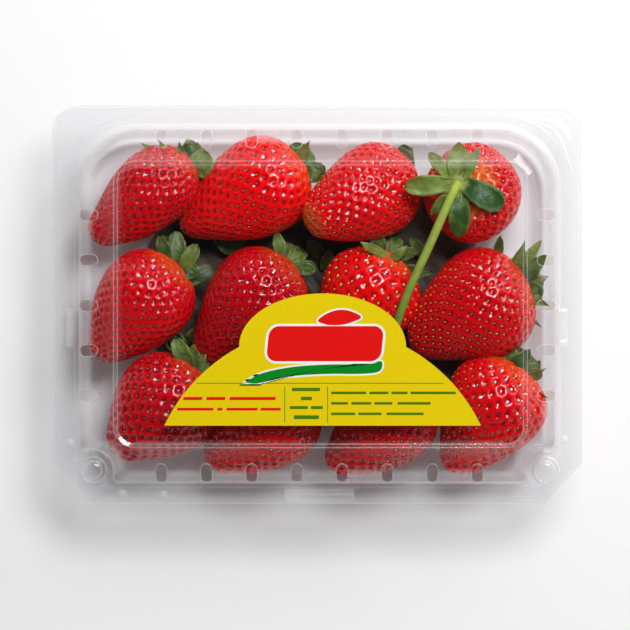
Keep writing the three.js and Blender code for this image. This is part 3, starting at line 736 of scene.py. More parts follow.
# The upright one's length can't be had from the plan. The painted shade in a pit is narrower than its hollow,
# by a power that is less where the pits are wide open.
UPRIGHT, WIDE_OPEN = 4, 9
BERRIES[UPRIGHT - 1]["length"] = 43.5
BERRIES[WIDE_OPEN - 1]["narrow"] = 1.1


def half_width(along, berry):
    """Half width along the axis, from the tip at 0 to the crown at 1, for a width of 2."""
    x = np.clip(along / berry["widest"], 0, 1)
    cap = np.sqrt(np.maximum(0, 1 - (1 - np.minimum(x / 0.1, 1)) ** 2))
    cone = cap * (berry["blunt"] + (1 - berry["blunt"]) * (1 - (1 - x) ** 1.7))
    past = np.clip((along - berry["widest"]) / (1 - berry["widest"]), 0, 1)
    return np.where(along < berry["widest"], cone, (1 - past ** 2.4) ** 0.55)


class Body:
    """Where a berry's skin lies, before its pits."""

    def __init__(self, berry):
        self.berry = berry
        self.tip, crown = np.array([*berry["tip"], 0.0]), np.array([*berry["crown"], 0.0])
        flat = crown - self.tip
        rise = math.radians(berry["rise"])
        self.length = berry.get("length") or np.linalg.norm(flat) / math.cos(rise)
        self.axis = flat / np.linalg.norm(flat) * math.cos(rise) + np.array([0, 0, math.sin(rise)])
        self.side = unit(np.array([-self.axis[1], self.axis[0], 0]))
        self.up = np.cross(self.axis, self.side)
        lowest = self.at(*np.meshgrid(np.linspace(0, 1, 160), np.linspace(0, 2 * np.pi, 90)))[..., 2].min()
        self.tip = self.tip + np.array([0, 0, REST_Z + berry["lift"] + LIE_CLEAR - lowest])
        self.walk = (1 - np.cos(np.linspace(0, np.pi, 4000))) / 2
        self.radius = half_width(self.walk, berry) * berry["width"] / 2
        self.strides = np.hypot(np.diff(self.walk) * self.length, np.diff(self.radius))

    def at(self, along, turn):
        radius = half_width(along, self.berry) * (self.berry["width"] / 2 - SKIN_INSET)
        along_mm = (0.005 + 0.99 * along) * self.length
        return (self.tip + self.axis * along_mm[..., None] + self.side * (radius * np.cos(turn))[..., None]
                + self.up * (radius * self.berry["thick"] * np.sin(turn))[..., None])

    def outward(self, along, turn, step=1e-3):
        run = self.at(np.clip(along + step, 0, 1), turn) - self.at(np.clip(along - step, 0, 1), turn)
        round_it = self.at(along, turn + step) - self.at(along, turn - step)
        normal = np.cross(round_it, run)
        return normal / np.maximum(np.linalg.norm(normal, axis=-1, keepdims=True), 1e-9)

    def even_steps(self, count):
        """Places along the axis that are equally far apart on the skin."""
        walked = np.concatenate([[0], np.cumsum(self.strides)])
        return np.interp(np.linspace(0, walked[-1], count), walked, self.walk)

    def seed_places(self, pitch, chance):
        """Along and turn of each seed, an equal share of the skin to each."""
        strip = self.strides * np.pi * (self.radius[1:] + self.radius[:-1])
        middles = (self.walk[1:] + self.walk[:-1]) / 2
        crowd = CROWDED_AT_TIP - (CROWDED_AT_TIP - CROWDED_AT_CROWN) * middles
        area = np.concatenate([[0], np.cumsum(strip * crowd)])
        count = int(area[-1] / (PACKED * pitch ** 2))
        share = (np.arange(count) + 0.5) / count * area[-1]
        turn = np.arange(count) * GOLDEN_TURN + chance.uniform(-0.05, 0.05, count)
        return np.interp(share, area, self.walk), turn


def soft_step(x, low, high):
    t = np.clip((x - low) / (high - low), 0, 1)
    return t * t * (3 - 2 * t)


def two_nearest(points, seeds):
    """Distances from each point to its nearest and second nearest seed."""
    square = ((points ** 2).sum(1)[:, None] + (seeds ** 2).sum(1)[None] - 2 * points @ seeds.T)
    two = np.partition(square, 1, axis=1)[:, :2]
    return np.sqrt(np.maximum(two, 0)).T


# %% [markdown]
# ### The skin's colour
# A ripe berry is a clean bright red where the skin swells, and it runs to orange near the leaves where it had
# less sun. In the pits the red is painted nearly black: painted shade over the real hollows. The grid carries
# these as named values, so the material mixes its reds from what was really modelled. The skin has a wet
# gloss: a sharp highlight that breaks up into the pale net on the ridges.

# %% Berry skin
flesh = paint("berry_skin")
blotches, pit_and_painted_shade = flesh.noise(90.0, 3.0), flesh.carried("pit_and_painted_shade")
ripeness = flesh.clamped_sum(flesh.carried("skin"), flesh.times_plus(blotches, 0.7, -0.35))
ridge = flesh.mix(ripeness, srgb(190, 0, 16), srgb(246, 8, 12))
# The nearly black reds in the pits are painted shade, laid where the grid sinks into hollows.
red = flesh.mix(pit_and_painted_shade, ridge, flesh.mix(ripeness, srgb(96, 0, 12), srgb(150, 0, 4)))
with_crown = flesh.mix(flesh.carried("crown"), red, srgb(240, 112, 24))
with_tip = flesh.mix(flesh.carried("tip"), with_crown, srgb(176, 110, 40))
grain = flesh.bump(flesh.noise(1600.0, 2.0), 0.15, 0.0004)
berry_skin = flesh.solid(with_tip, flesh.ranged(blotches, 0.05, 0.09), Normal=grain,
                         Specular_IOR_Level=flesh.ranged(pit_and_painted_shade, 0.66, 1.0),
                         IOR=flesh.ranged(pit_and_painted_shade, 1.45, 1.8, 0.5))

# %% Make the twelve skins
RINGS, SIDES = ((118, 200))

bodies, seed_points = [], []
for number, berry in enumerate(BERRIES, 1):
    chance = np.random.default_rng(100 + number)
    body = Body(berry)
    seed_along, seed_turn = body.seed_places(berry["pitch"], chance)
    seeds = body.at(seed_along, seed_turn)
    along, turn = np.meshgrid(body.even_steps(RINGS + 2)[1:-1], circle(SIDES), indexing="ij")
    points, out = body.at(along, turn), body.outward(along, turn)
    flat_points = points.reshape(-1, 3)
    squeeze = np.eye(3) - 0.16 * np.outer(body.axis, body.axis)
    nearest, second = two_nearest(flat_points @ squeeze, seeds @ squeeze)
    share = 2 * nearest / (nearest + second)
    pit_and_painted_shade = (1 - soft_step(share, 0.28, 0.96)) * soft_step(second, 0.6, berry["pitch"] * 0.8)
    waves = np.sin(flat_points @ chance.uniform(-0.2, 0.2, (3, 3)) + chance.uniform(0, 6, 3))
    lumps = LUMPY * waves.sum(axis=1) - SKIN_INSET
    sunk = points + out * (lumps - berry["deep"] * pit_and_painted_shade).reshape(RINGS, SIDES)[..., None]
    made = new_object(f"berry_{number:02d}", *skin(list(sunk)), berry_skin)
    near_crown = soft_step(along.reshape(-1), 0.88, 0.99) * berry["pale_crown"]
    near_tip = (1 - soft_step(along.reshape(-1), 0.0, 0.09)) * berry["pale_tip"]
    # The pit value also sets where painted shade darkens the skin.
    give(made, "pit_and_painted_shade", [*pit_and_painted_shade ** berry.get("narrow", 1.8), 0, 0])
    give(made, "skin", np.full(len(pit_and_painted_shade) + 2, berry["skin"]))
    give(made, "crown", [*near_crown, 0, near_crown.max()])
    give(made, "tip", [*near_tip, near_tip.max(), 0])
    bodies.append(body)
    normal = body.outward(seed_along, seed_turn)
    seed_points.append((seeds - normal * (berry["deep"] * 0.84 + 0.2), normal, body, berry))
    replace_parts(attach(made, "tray"), "berries")
print("berries:", len(bodies), "with", sum(len(s[0]) for s in seed_points), "seeds")

# %% [markdown]
# ### The seeds
# A strawberry carries a few hundred seeds, all alike, so Geometry Nodes set one small pip on
# each point, turned by a stored rotation, with its long side towards the berry's tip. The pips
# run from gold to the red of a pit, so each point also carries its own colour.

# %% Seed finish
pip_paint = paint("seed_skin")
gold = pip_paint.mix(pip_paint.carried("gold"), srgb(170, 14, 22), srgb(244, 168, 44))
seed_skin = pip_paint.solid(gold, 0.2, IOR=1.8, Specular_IOR_Level=0.9)


# %% A small shape on every point, by Geometry Nodes
def set_on_points(name, shape_of, **inputs):
    """A tree that sets a shape on every point, turned and grown by what the point carries."""
    tree, named, given = geometry_tree(name, Geometry="Geometry", Material="Material", **inputs)
    turn = wire(tree, "GeometryNodeInputNamedAttribute", {"Name": "turn"}, data_type="FLOAT_VECTOR")
    size = wire(tree, "GeometryNodeInputNamedAttribute", {"Name": "grown"}, data_type="FLOAT")
    spots = wire(tree, "GeometryNodeMeshToPoints", {"Mesh": given["Geometry"]})
    close_tree(tree, spots, shape_of(tree, given), given["Material"],
               Rotation=wire(tree, "FunctionNodeEulerToRotation", {0: turn}), Scale=size)
    return tree, named


def pip_shape(tree, given):
    ball = wire(tree, "GeometryNodeMeshUVSphere", {"Segments": 6, "Rings": 4, "Radius": 0.5})
    pip = wire(tree, "GeometryNodeTransform", {"Geometry": ball, "Scale": given["Size"]})
    return wire(tree, "GeometryNodeSetShadeSmooth", {"Geometry": pip})


def facing(normal, long_way):
    """Euler turns that lay a shape's Y along long_way and its Z along normal."""
    rows = []
    for n, y in zip(normal, long_way):
        y = y - n * (y @ n)
        y = y / max(np.linalg.norm(y), 1e-9)
        rows.append(Matrix(np.stack([np.cross(y, n), y, n], axis=1).tolist()).to_euler())
    return np.array(rows, dtype=float)


places, turns_of, golds, sizes = [], [], [], []
chance = np.random.default_rng(7)
for spots, normal, body, berry in seed_points:
    places.append(spots)
    turns_of.append(facing(normal, np.repeat(body.axis[None], len(spots), axis=0)))
    golds.append(np.clip(berry["gold"] * (1 + chance.normal(0, 0.25, len(spots))), 0, 1) ** 1.5)
    sizes.append(chance.uniform(0.85, 1.12, len(spots)) * berry["pitch"] / 4.2)
seeds = new_object("berry_seeds", np.concatenate(places), [], seed_skin)
give(seeds, "turn", np.concatenate(turns_of), "FLOAT_VECTOR")
give(seeds, "gold", np.concatenate(golds))
give(seeds, "grown", np.concatenate(sizes))
run_tree(seeds, *set_on_points("pips_on_points", pip_shape, Size="Vector"), "berry_seeds",
         Size=(0.00086, 0.0014, 0.0007), Material=seed_skin)
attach(seeds, "tray")
print("seed mesh:", len(seeds.data.polygons), "faces")

# %% [markdown]
# ## Leaves and stems
# The little green leaves at a berry's crown are thin, wavy and folded along a middle rib, and
# their tips dry to brown. Each is a strip of fine rows from its foot to its tip, with a top and
# an underside, that bows up and cups across. They carry their own place along and across, and
# the material uses it for the pale edge and the brown tip.

# %% The leaves that show: foot, tip, width, bow, dark (0 pale to 1 dark), brown, how round the tip is
LEAVES = [
    ((-64, 60.6, 26), (-72.6, 66.6, 29), 3.2, 1.5, .5, .3, 0),
    ((-58, 57.7, 27), (-65.2, 67.6, 32), 4.2, 2, .4, .2, 0),
    ((-55, 56.2, 27), (-56.6, 67, 31), 5, 1.5, .8, .1, 0),
    ((-49.5, 49, 24), (-46.3, 63.8, 31), 11, 3, .5, .2, .8),
    ((-12.3, 60.2, 27), (-15.2, 67.6, 32), 3.4, 1, .5, .5, 0),
    ((-8.8, 57.1, 27), (-2.9, 67.4, 33), 5.7, 1.5, .4, .6, 0),
    ((-7.5, 56.6, 26), (4.1, 54.3, 28), 3.8, 2, .8, .1, 0),
    ((38.2, 55.4, 22), (32.4, 63.9, 27), 8.6, 2, .9, .2, .8),
    ((57.5, 50.3, 44.5), (58.2, 66.6, 40.5), 10, 3.6, .3, .5, .2),
    ((58.8, 50.5, 44.5), (66.9, 65, 43), 5.4, 3, .5, .2, 0),
    ((59.7, 49.5, 44.5), (76.3, 40, 44.5), 10.4, 3.2, 1, 0, .9),
    ((58.3, 46.8, 44.5), (58.2, 27.4, 40), 9, 3.4, .9, .1, .6),
    ((55.1, 49.4, 44), (35.7, 47.9, 46), 8.4, 2, .4, .2, .8),
    ((55.4, 51.2, 44), (45.6, 62, 42.5), 5.6, 3, .2, .2, .6),
    ((56.6, 46.6, 42), (46.3, 36.3, 40), 5.6, 2, .6, 0, .3),
    ((-55.7, 12.6, 24), (-58.4, 30.2, 27), 7.4, 2.5, .8, .2, .9),
    ((-56.5, 12.8, 27), (-49, 24.6, 31), 6.4, 2, .6, .1, .9),
    ((-56.9, 7.8, 24), (-42.8, 15.4, 24), 6.6, 2, 1, .2, .7),
    ((-51.5, -27.5, 28), (-58.6, -14, 32), 7, 3, .7, 0, .9),
    ((30.1, 19.2, 31), (17.6, 25.6, 36), 3.6, 1, .3, .4, .4),
    ((30.4, 18.3, 31), (37.7, 24.6, 33), 4, 1.5, .5, .4, 0),
    ((33.5, 13.9, 24), (48, 13.3, 25), 5.7, 2, .8, 0, .2),
    ((73.8, 18, 26), (75.4, 28.1, 33), 4.1, 1, .8, .1, .5),
    ((80.4, 11, 26), (85.3, 26.4, 34), 5.9, 2, .6, .3, 0),
    ((82.5, 14, 26), (92.3, 26.4, 31), 4.4, 2, .4, .1, .4),
    ((82.5, 8.5, 27), (94, 20.6, 34), 6.6, 2, .8, .2, .4),
    ((84, 6.6, 27), (95.2, 11.7, 31), 4.8, 1.5, .5, .7, .2),
    ((84.2, 4.5, 26), (95.4, -.6, 33), 5.7, 2, .6, .3, 0),
    ((84, -2.5, 24), (92.7, -9.6, 28), 2.4, 1.5, .6, .5, 0),
    ((77.9, -30, 26), (87.7, -18.4, 33), 8.2, 2.5, .9, .1, .4),
    ((82.3, -33.1, 26), (94.4, -26, 31), 4.4, 1.5, .7, .8, 0),
    ((83.8, -34, 26), (94.8, -38.3, 32), 3.8, 2, .6, .9, 0),
]


def leaf_parts(foot, tip, width, bow, round_tip, chance, rows=22, columns=8):
    """Points, faces and the along and across values of one leaf."""
    foot, tip = np.array(foot, float), np.array(tip, float)
    run = tip - foot
    side = unit(np.array([-run[1], run[0], 0]))
    up = unit(np.cross(run, side))
    along, across = np.meshgrid(np.linspace(0, 1, rows), np.linspace(-1, 1, columns + 1), indexing="ij")
    half = width / 2 * (0.28 + 0.72 * np.sin(np.pi * np.minimum(along * (0.92 - 0.26 * round_tip) + 0.1, 1)))
    half = half * (1 - along ** (4 + 8 * round_tip)) ** (0.9 - 0.45 * round_tip) + 0.05
    half = half * (1 + 0.05 * np.sin(along * 26 + chance.uniform(0, 6)) * along)
    lean = chance.uniform(-0.10, 0.10)
    wave = (0.3 + 0.03 * width) * np.sin(along * 9 + across * 2 + chance.uniform(0, 6)) * np.abs(across)
    cup = width * (chance.uniform(0.06, 0.16) * across ** 2 + lean * across + 0.03 * near(across, 0.16))
    middle = foot + run * along[..., None] + up * (bow * np.sin(np.pi * along))[..., None]
    flat = middle + side * (across * half)[..., None] + up * (wave + cup - 0.08 * width)[..., None]
    thick = (0.42 - 0.27 * np.abs(across) ** 2)[..., None] * up
    top, under = (flat + thick).reshape(-1, 3), (flat - thick).reshape(-1, 3)
    count, wide = len(top), columns + 1
    faces = []
    for a in (i * wide + j for i in range(rows - 1) for j in range(columns)):
        faces += [[a, a + wide, a + wide + 1, a + 1],
                  [count + a + 1, count + a + wide + 1, count + a + wide, count + a]]
    rim = [i * wide for i in range(rows)] + [(rows - 1) * wide + j for j in range(1, wide)]
    rim += [i * wide + columns for i in range(rows - 2, -1, -1)] + list(range(columns - 1, 0, -1))
    faces += [[a, count + a, count + b, b] for a, b in zip(rim, rim[1:] + rim[:1])]
    return np.concatenate([top, under]), faces, np.tile(along.ravel(), 2), np.tile(across.ravel(), 2)


# %% Leaf finish
leaf = paint("leaf_green")
mottle = leaf.times_plus(leaf.noise(260.0, 4.0), 0.9, -0.45)
green = leaf.mix(leaf.clamped_sum(leaf.carried("dark"), mottle), srgb(146, 164, 74), srgb(34, 76, 30))
edged = leaf.mix(leaf.ranged(leaf.carried("edge"), 0.0, 0.4, 0.72), green, srgb(140, 152, 84))
leafy = leaf.mix(leaf.clamped_sum(leaf.carried("dry"), mottle), edged, srgb(96, 56, 26))
veins = leaf.bump(leaf.noise(900.0, 2.0), 0.4, 0.0006)
leaf_green = leaf.solid(leafy, 0.42, Normal=veins, Specular_IOR_Level=0.35)


# %% Make the leaves
def leaves_object(name, rows_of, chance):
    parts, dark_of, edge_of, dry_of = [], [], [], []
    for foot, tip, width, bow, dark, brown, round_tip in rows_of:
        points, faces, along, across = leaf_parts(foot, tip, width, bow, round_tip, chance)
        parts.append((points, faces))
        dark_of.append(np.full(len(points), dark))
        edge_of.append(np.abs(across))
        dry_of.append(brown * soft_step(along + 0.2 * np.abs(across), 0.35, 1.1))
    made = one_mesh(name, parts, leaf_green)
    for key, values in (("dark", dark_of), ("edge", edge_of), ("dry", dry_of)):
        give(made, key, np.concatenate(values))
    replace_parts(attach(made, "tray"), "berries")
    return made


crown_leaves = leaves_object("crown_leaves", LEAVES, np.random.default_rng(21))
print("leaves:", len(LEAVES), "with", len(crown_leaves.data.polygons), "faces")

# %% [markdown]
# ### What shows in the gaps
# Between the berries the eye falls on dark leaves, bits of stem and the floor. Every lying berry has the rest
# of its leaves on the underside of its crown, and they hold it off the floor. A low uneven bed closes the
# heap underneath. It has dark green patches of leaves, and between them a dark brown that is painted shade,
# standing for the clear floor as it looks in the shade of the heap.


# %% Leaves under the crowns
OFF_THE_WALL, OFF_THE_FLOOR = 5.5, 4.0


def kept_inside(point):
    """Pulls a point in, in small steps, until it is clear of the tray's wall and floor."""
    x, y, z = point
    while outside_form(DOME, np.array(x), np.array(y)) >= -OFF_THE_WALL:
        x, y = x * 0.985, y * 0.985
    return x, y, max(z, OFF_THE_FLOOR)


chance = np.random.default_rng(33)
under_leaves = []
for number, body in enumerate(bodies, 1):
    if number == UPRIGHT:
        continue
    crown = sum(body.at(np.array(0.97), np.array(turn)) * 0.5 for turn in (0.0, np.pi))
    for angle in np.radians([185, 212, 240, 268, 300, 330, 355]):
        away = math.cos(angle) * body.side + math.sin(angle) * body.up
        leaf_tip = crown + away * chance.uniform(9, 13) + body.axis * chance.uniform(2.5, 7.0)
        habits = [chance.uniform(*span) for span in ((5, 8), (1, 2.6), (0.6, 1.0), (0, 0.5), (0.2, 0.9))]
        under_leaves.append((kept_inside(crown + away * 3.0), kept_inside(leaf_tip), *habits))
# The leafy clumps seen in five gaps.
under_leaves += [
    ((-33, 22, 10), (-42, 28.5, 15), 7.5, 2.5, .8, .1, .8),
    ((-35, 20, 9), (-30.5, 28, 14), 6, 2, .9, .1, .7),
    ((-54, -19, 10), (-60.5, -12, 17), 6, 2.5, .8, .1, .7),
    ((-53, -17, 10), (-50.5, -9.5, 16), 5, 2, .7, .2, .5),
    ((2, 20, 9), (-4, 26.5, 14), 6, 2, .8, .4, .5), ((3, 14, 9), (5.5, 23, 13), 5, 2, .9, .3, .4),
    ((44, 20, 12), (38.5, 28, 17), 5, 2, .7, .1, .5),
    ((-60, 20, 14), (-66.5, 25, 20), 5, 2, .8, .2, .6),
]
leaves_object("under_leaves", under_leaves, chance)
print("leaves under the crowns:", len(under_leaves))

# %% The bed under the heap
BED_X, BED_Y = 64, 47
# The bed is dark green leaves in patches, and between them a brown that is painted shade of the floor.
bed_paint = paint("bed_leaves_and_painted_shade")
leaf_and_shade_patches = bed_paint.ranged(bed_paint.noise(60.0, 4.0, 0.6), 0.0, 1.0, 0.42, 0.58)
bed_leaves_and_painted_shade = bed_paint.solid(bed_paint.mix(leaf_and_shade_patches, srgb(96, 66, 50), srgb(34, 46, 26)), 0.6)

turns = circle(90)
squarish = 1.14 - 0.14 * np.cos(4 * turns)
uneven = 1 + 0.02 * np.sin(turns * 7 + 1) + 0.015 * np.sin(turns * 12)
bed_rings = []
for share, z in [(0.90, 3.0), (0.985, 3.4), (1.0, 5.0), (0.985, 7.0), (0.94, 8.4),
                 *((s, None) for s in np.linspace(0.88, 0.04, 26))]:
    r = share * uneven * squarish
    px, py = BED_X * r * np.cos(turns), BED_Y * r * np.sin(turns)
    lumpy = 9.0 + 0.9 * np.sin(px * 0.31 + 1) * np.sin(py * 0.37)
    lumpy += 0.6 * np.sin(px * 0.83 + py * 0.6) + 0.3 * np.sin(py * 1.7 - px)
    bed_rings.append(level(px, py, lumpy if z is None else z))
bed = new_object("bed_under_berries", *skin(bed_rings), bed_leaves_and_painted_shade)
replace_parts(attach(bed, "tray"), "berries")
print("bed faces:", len(bed.data.polygons))

# %% [markdown]
# ### The long stem
# The upright berry keeps its long stem, which runs over its neighbour and in under the label. It is a round
# tube along a smooth line, a little thicker where it leaves the berry. Its colour runs from a pale green
# there to a darker one under the label, and that darker end is painted shade where the label covers it.

# %% Stem finish
stem = paint("stem_green")
streaks = stem.noise(300.0, 3.0)
# The darker green towards the far end is painted shade under the label.
shade = stem.clamped_sum(stem.carried("along"), stem.times_plus(streaks, 0.5, -0.25))
stem_green = stem.solid(stem.mix(shade, srgb(178, 196, 78), srgb(84, 112, 40)), 0.6,
                        Normal=stem.bump(streaks, 0.3, 0.0005), Specular_IOR_Level=0.25)

# %% Make the long stem
STEM = [(57.6, 49.6, 41.5), (57.0, 48.6, 45.2), (53.6, 41.5, 47.6), (45.2, 22.5, 46.8), (37.8, 6.4, 45.0),
        (33.2, -6.0, 42.6), (31.4, -12.6, 40.6)]
line = smooth_line(STEM, 12)
share = np.linspace(0, 1, len(line))
long_stem = one_mesh("long_stem", [tube(line, 1.75 + 0.5 * (1 - share) ** 8)], stem_green)
give(long_stem, "along", np.append(np.repeat(share, 16), [0, 1]))
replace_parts(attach(long_stem, "tray"), "berries")
print("long stem, mm:", round(float(np.linalg.norm(np.diff(line, axis=0), axis=1).sum()), 1))

# %% [markdown]
# ### The fuzzy heart of the upright berry, and a curled leaf
# Where the long stem leaves the upright berry, its leaves join in a pale fuzzy disc. Hairs are
# alike and many, so Geometry Nodes set one tapered hair on every point of a low mound. A narrow
# leaf in the gap on the left has curled over into a loop, which is a bent strip like the others.

# %% The disc
HEART, HEART_RADIUS = np.array([57.3, 49.0, 44.2]), 5.6
turns = circle(40)
mound = []
for share, z in [(0.2, -2.0), (0.8, -1.6), (1.0, -0.8), (0.93, 0.2), (0.75, 0.9), (0.5, 1.3), (0.2, 1.5)]:
    r = share * HEART_RADIUS * (1 + 0.10 * np.sin(turns * 7 + 0.5) * share)
    mound.append(HEART + level(r * np.cos(turns), r * np.sin(turns), z))
heart = new_object("calyx_heart", *skin(mound), leaf_green)
for key, value in (("dark", 0.12), ("edge", 0.3), ("dry", 0.12)):
    give(heart, key, np.full(len(heart.data.vertices), value))
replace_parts(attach(heart, "tray"), "berries")

# %% Its hairs
HAIRS, HAIRY_RADIUS = 420, 5.9
hair = paint("hair_green")
hair_green = hair.solid(hair.mix(hair.noise(500.0, 2.0), srgb(150, 160, 60), srgb(206, 206, 120)), 0.6)


def hair_shape(tree, given):
    return wire(tree, "GeometryNodeMeshCone", {"Vertices": 5, "Radius Top": 0.00002,
                                               "Radius Bottom": given["Thickness"], "Depth": given["Length"]})


chance = np.random.default_rng(51)
reach = HAIRY_RADIUS * np.sqrt(chance.uniform(0.03, 1, HAIRS))
turn = chance.uniform(0, 2 * np.pi, HAIRS)
sunk = 1.45 - 1.5 * (reach / HAIRY_RADIUS) ** 2.4
roots = HEART + np.stack([reach * np.cos(turn), reach * np.sin(turn), sunk], axis=1)
lean = unit(np.stack([np.cos(turn + chance.normal(0, 0.5, HAIRS)),
                      np.sin(turn + chance.normal(0, 0.5, HAIRS)), chance.uniform(0.25, 0.9, HAIRS)], axis=1))
hairs = new_object("calyx_hairs", roots, [], hair_green)
give(hairs, "turn", facing(lean, np.tile([0.3, 0.9, 0.1], (HAIRS, 1))), "FLOAT_VECTOR")
give(hairs, "grown", chance.uniform(0.6, 1.1, HAIRS))
run_tree(hairs, *set_on_points("hairs_on_points", hair_shape, Thickness="Float", Length="Float"),
         "calyx_hairs", Thickness=0.00011, Length=0.0022, Material=hair_green)
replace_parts(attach(hairs, "tray"), "berries")
print("hairs:", HAIRS, "with", len(hairs.data.polygons), "faces")

# %% Curled leaf
LOOP_X, LOOP_Y, LOOP_Z = -58.5, -15.5, 15.5
STRIP = [(-0.35, -1.7), (0.35, -1.7), (0.75, 0), (0.35, 1.7), (-0.35, 1.7), (0.1, 0)]
loop = [(LOOP_X + 3.4 * math.cos(a), LOOP_Y + 3.9 * math.sin(a), LOOP_Z + 1.5 * math.sin(a * 0.5))
        for a in np.linspace(-0.9, 4.3, 9)]
loop = smooth_line([(-51.5, -20.5, 10.0), (-54.0, -19.6, 13.5), *loop], 6)
strip = []
for centre, out in zip(loop, unit(np.cross(unit(np.gradient(loop, axis=0)), (0, 0, 1.0)))):
    strip.append(np.array([centre + out * a + np.array([0, 0, b]) for a, b in STRIP])[::-1])
curled = new_object("curled_leaf", *skin(strip), leaf_green)
share = np.repeat(np.linspace(0, 1, len(strip)), len(STRIP))
give(curled, "dark", np.full(len(curled.data.vertices), 0.55))
give(curled, "edge", np.append(np.tile([0.95, 0.95, 0.2, 0.95, 0.95, 0.2], len(strip)), [1, 1]))
give(curled, "dry", np.append(0.5 * share ** 3, [0, 0.5]))
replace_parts(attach(curled, "tray"), "berries")

# %% [markdown]
# ## The label
# The label is opaque yellow paper on the flat top of the lid: a low wide arc with a rounder dome
# above it. Its print is kept plain here: fields of colour, rules and bars. Each colour is its own
# hair-thin layer on the paper, which keeps its edges crisp from near and far.

# %% Paper and ink
LABEL = dict(thick=0.3, x=2.3, bottom_y=-49.4, arc_y=-80.2, arc_radius=71.5, middle_y=-40.0)
LABEL_DOME = dict(half_x=34.0, half_y=21.5, y=-17.0)
LABEL_Z = TOP_Z + GAP
PAPER_Z = LABEL_Z + LABEL["thick"] - 0.05


def paper(name, colour, darker):
    ink = paint(name)
    fibres = ink.noise(700.0, 4.0)
    return ink.solid(ink.mix(fibres, srgb(*colour), srgb(*darker)), 0.6,
                     Normal=ink.bump(fibres, 0.15, 0.0002), Specular_IOR_Level=0.06)


yellow_paper = paper("yellow_paper", (216, 192, 0), (206, 180, 0))
red_ink = paper("red_ink", (214, 14, 8), (202, 10, 8))
green_ink = paper("green_ink", (0, 128, 28), (0, 116, 24))
text_green = paper("text_green", (70, 118, 0), (62, 106, 0))
white_ink = paper("white_ink", (226, 226, 222), (216, 216, 212))


def layer_of(ring, low, high):
    """Points and faces of a flat closed piece between two heights."""
    return skin([level(*np.transpose(ring), z) for z in (low, high)])


def slab(name, outline_points, low, high, material, centre=None):
    """A flat closed piece from an outline that its centre sees all of."""
    ring = np.array(outline_points, float)
    centre = ring.mean(axis=0) if centre is None else centre
    points, faces = layer_of(ring, low, high)
    points[-2:] = [*centre, low], [*centre, high]
    made = new_object(name, points, faces, material)
    made.data.shade_flat()
    return made


drop = LABEL["bottom_y"] - LABEL["arc_y"]
arc_start = math.atan2(drop, math.sqrt(LABEL["arc_radius"] ** 2 - drop ** 2))
arc_end = math.acos(LABEL_DOME["half_x"] / LABEL["arc_radius"])
right_arc = [(LABEL["arc_radius"] * math.cos(a), LABEL["arc_y"] + LABEL["arc_radius"] * math.sin(a))
             for a in np.linspace(arc_start, arc_end, 24)]
dome_arc = [(LABEL_DOME["half_x"] * math.cos(a), LABEL_DOME["y"] + LABEL_DOME["half_y"] * math.sin(a))
            for a in np.linspace(0, math.pi, 72)]
left_arc = [(-x, y) for x, y in reversed(right_arc)]
label_outline = [(x + LABEL["x"], y) for x, y in [*right_arc, *dome_arc, *left_arc]]
label = slab("paper_label", label_outline, LABEL_Z, PAPER_Z, yellow_paper, (LABEL["x"], LABEL["middle_y"]))
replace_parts(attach(label, "lid"), "label")
print("label, mm:", [round(1000 * v, 1) for v in label.dimensions])

# %% [markdown]
# ### The print
# A red panel with a white edge sits in the dome of the label with a small red leaf shape over it
# and a brushed green band under it. Below a fine green rule the lower part is divided in three by
# upright rules, with two rows of red bars at the left and green bars in the middle and at the right.

# %% Print on the label
STEP = 0.41
INK_FOOT, INK_LAYER = PAPER_Z + 0.002, 0.007


def on_label(px, py):
    """Millimetres from a place on a plan with 0.41 mm steps, counted right and down."""
    return (px - 317) * STEP, (304.5 - py) * STEP


def pill(low_x, low_y, high_x, high_y, round_by, slant=0.0):
    """A rounded bar between two corners given on that plan, leaning by slant."""
    (x0, y1), (x1, y0) = on_label(low_x, low_y), on_label(high_x, high_y)
    r = min(round_by, (x1 - x0) / 2, (y1 - y0) / 2)
    turns = circle(40) + np.pi / 40
    x = (x0 + x1) / 2 + np.sign(np.cos(turns)) * ((x1 - x0) / 2 - r) + r * np.cos(turns)
    y = (y0 + y1) / 2 + np.sign(np.sin(turns)) * ((y1 - y0) / 2 - r) + r * np.sin(turns)
    return np.column_stack([x + slant * (y - (y0 + y1) / 2), y])


def grown(ring, by):
    run = np.roll(ring, -1, axis=0) - np.roll(ring, 1, axis=0)
    out = np.stack([run[:, 1], -run[:, 0]], axis=1)
    return ring + by * out / np.maximum(np.linalg.norm(out, axis=1, keepdims=True), 1e-9)


def closed_line(places):
    """A smooth closed outline through places that run against the clock."""
    points = [on_label(x, y) for x, y in places]
    return smooth_line([*points, points[0]], 5)[:-1]


def printed(name, outline_points, layer, material, centre=None):
    """One field of ink. A higher layer covers a lower one where they cross."""
    made = slab(name, outline_points, INK_FOOT, PAPER_Z + INK_LAYER * layer, material, centre)
    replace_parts(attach(made, "lid"), "label")


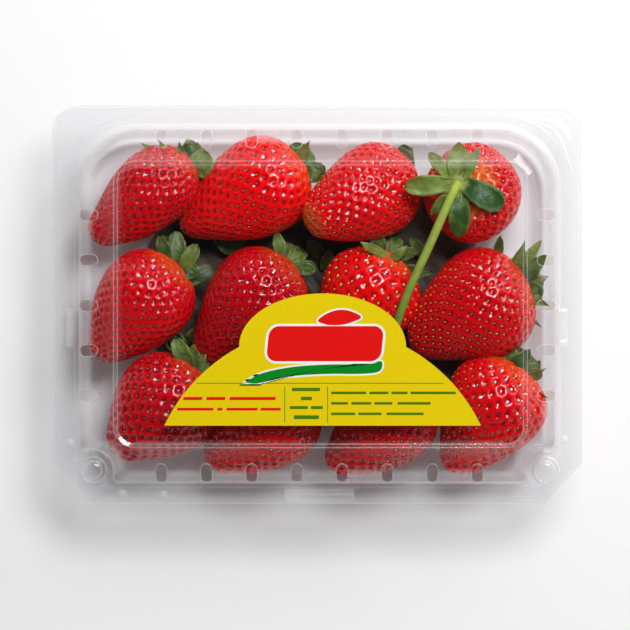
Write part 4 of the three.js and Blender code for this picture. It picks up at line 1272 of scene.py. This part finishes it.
panel = pill(268, 326, 382, 361, 4.2, 0.10)
leaf_top = closed_line([(328, 325), (340, 325), (352, 322), (361, 317), (350, 311), (338, 310), (326, 314),
                        (318, 321)])
band = closed_line([(245, 382), (258, 383), (275, 378), (300, 375), (330, 373.5), (360, 373.5), (379, 371),
                    (381, 361), (368, 364), (350, 364), (320, 364.5), (290, 367), (262, 373)])
printed("panel_edge", grown(panel, 1.0), 4, white_ink)
printed("panel_red", panel, 6, red_ink)
printed("leaf_edge", grown(leaf_top, 0.7), 3, white_ink)
printed("leaf_red", leaf_top, 5, red_ink)
printed("band_edge", grown(band, 0.7), 1, white_ink, on_label(320, 369))
printed("band_green", band, 2, green_ink, on_label(320, 369))
streaks = [(240, 383.6, 262, 385.5), (246, 378.6, 270, 380.6), (254, 373.8, 284, 376)]
rules = [(197, 382.4, 243, 383.2), (262, 382.4, 443, 383.2), (284.6, 386, 285.4, 422), (327.2, 386, 328, 422)]
for name, bars, round_by, slant in (("brush_streak", streaks, 0.4, 1.4), ("fine_rule", rules, 0.1, 0.0)):
    for number, corners in enumerate(bars):
        printed(f"{name}_{number}", pill(*corners, round_by, slant), 1, green_ink)

# %% Rows of short bars: the height they sit at, how tall they are, and where each starts and ends
RED_ROWS = [(398, 3.2, [(184, 203), (207, 226), (230, 276)]),
            (408.6, 2.8, [(178, 214), (218, 223), (227, 258), (261, 281)])]
GREEN_ROWS = [(389, 3.4, [(292, 320)]), (398, 3.4, [(301, 312)]), (407, 3.0, [(290, 308), (311, 323)]),
              (416.6, 3.8, [(294, 319)]), (392.4, 2.6, [(331, 366), (369, 388), (391, 407), (410, 455)]),
              (402.8, 2.6, [(331, 348), (351, 371), (374, 392), (397, 430)]),
              (413.2, 2.6, [(331, 355), (358, 381), (386, 423)])]
for ink, name, rows, slant in ((red_ink, "red_bars", RED_ROWS, 0.2),
                               (text_green, "green_bars", GREEN_ROWS, 0.0)):
    bars = [layer_of(pill(x0, y - tall / 2, x1, y + tall / 2, 0.3, slant), INK_FOOT, PAPER_Z + INK_LAYER)
            for y, tall, spans in rows for x0, x1 in spans]
    made = one_mesh(name, bars, ink)
    made.data.shade_flat()
    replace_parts(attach(made, "lid"), "label")
    print(name, len(bars))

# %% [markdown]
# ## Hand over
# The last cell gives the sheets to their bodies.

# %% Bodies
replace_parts(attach(tray, "tray"), "tray")
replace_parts(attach(lid, "lid"), "lid")
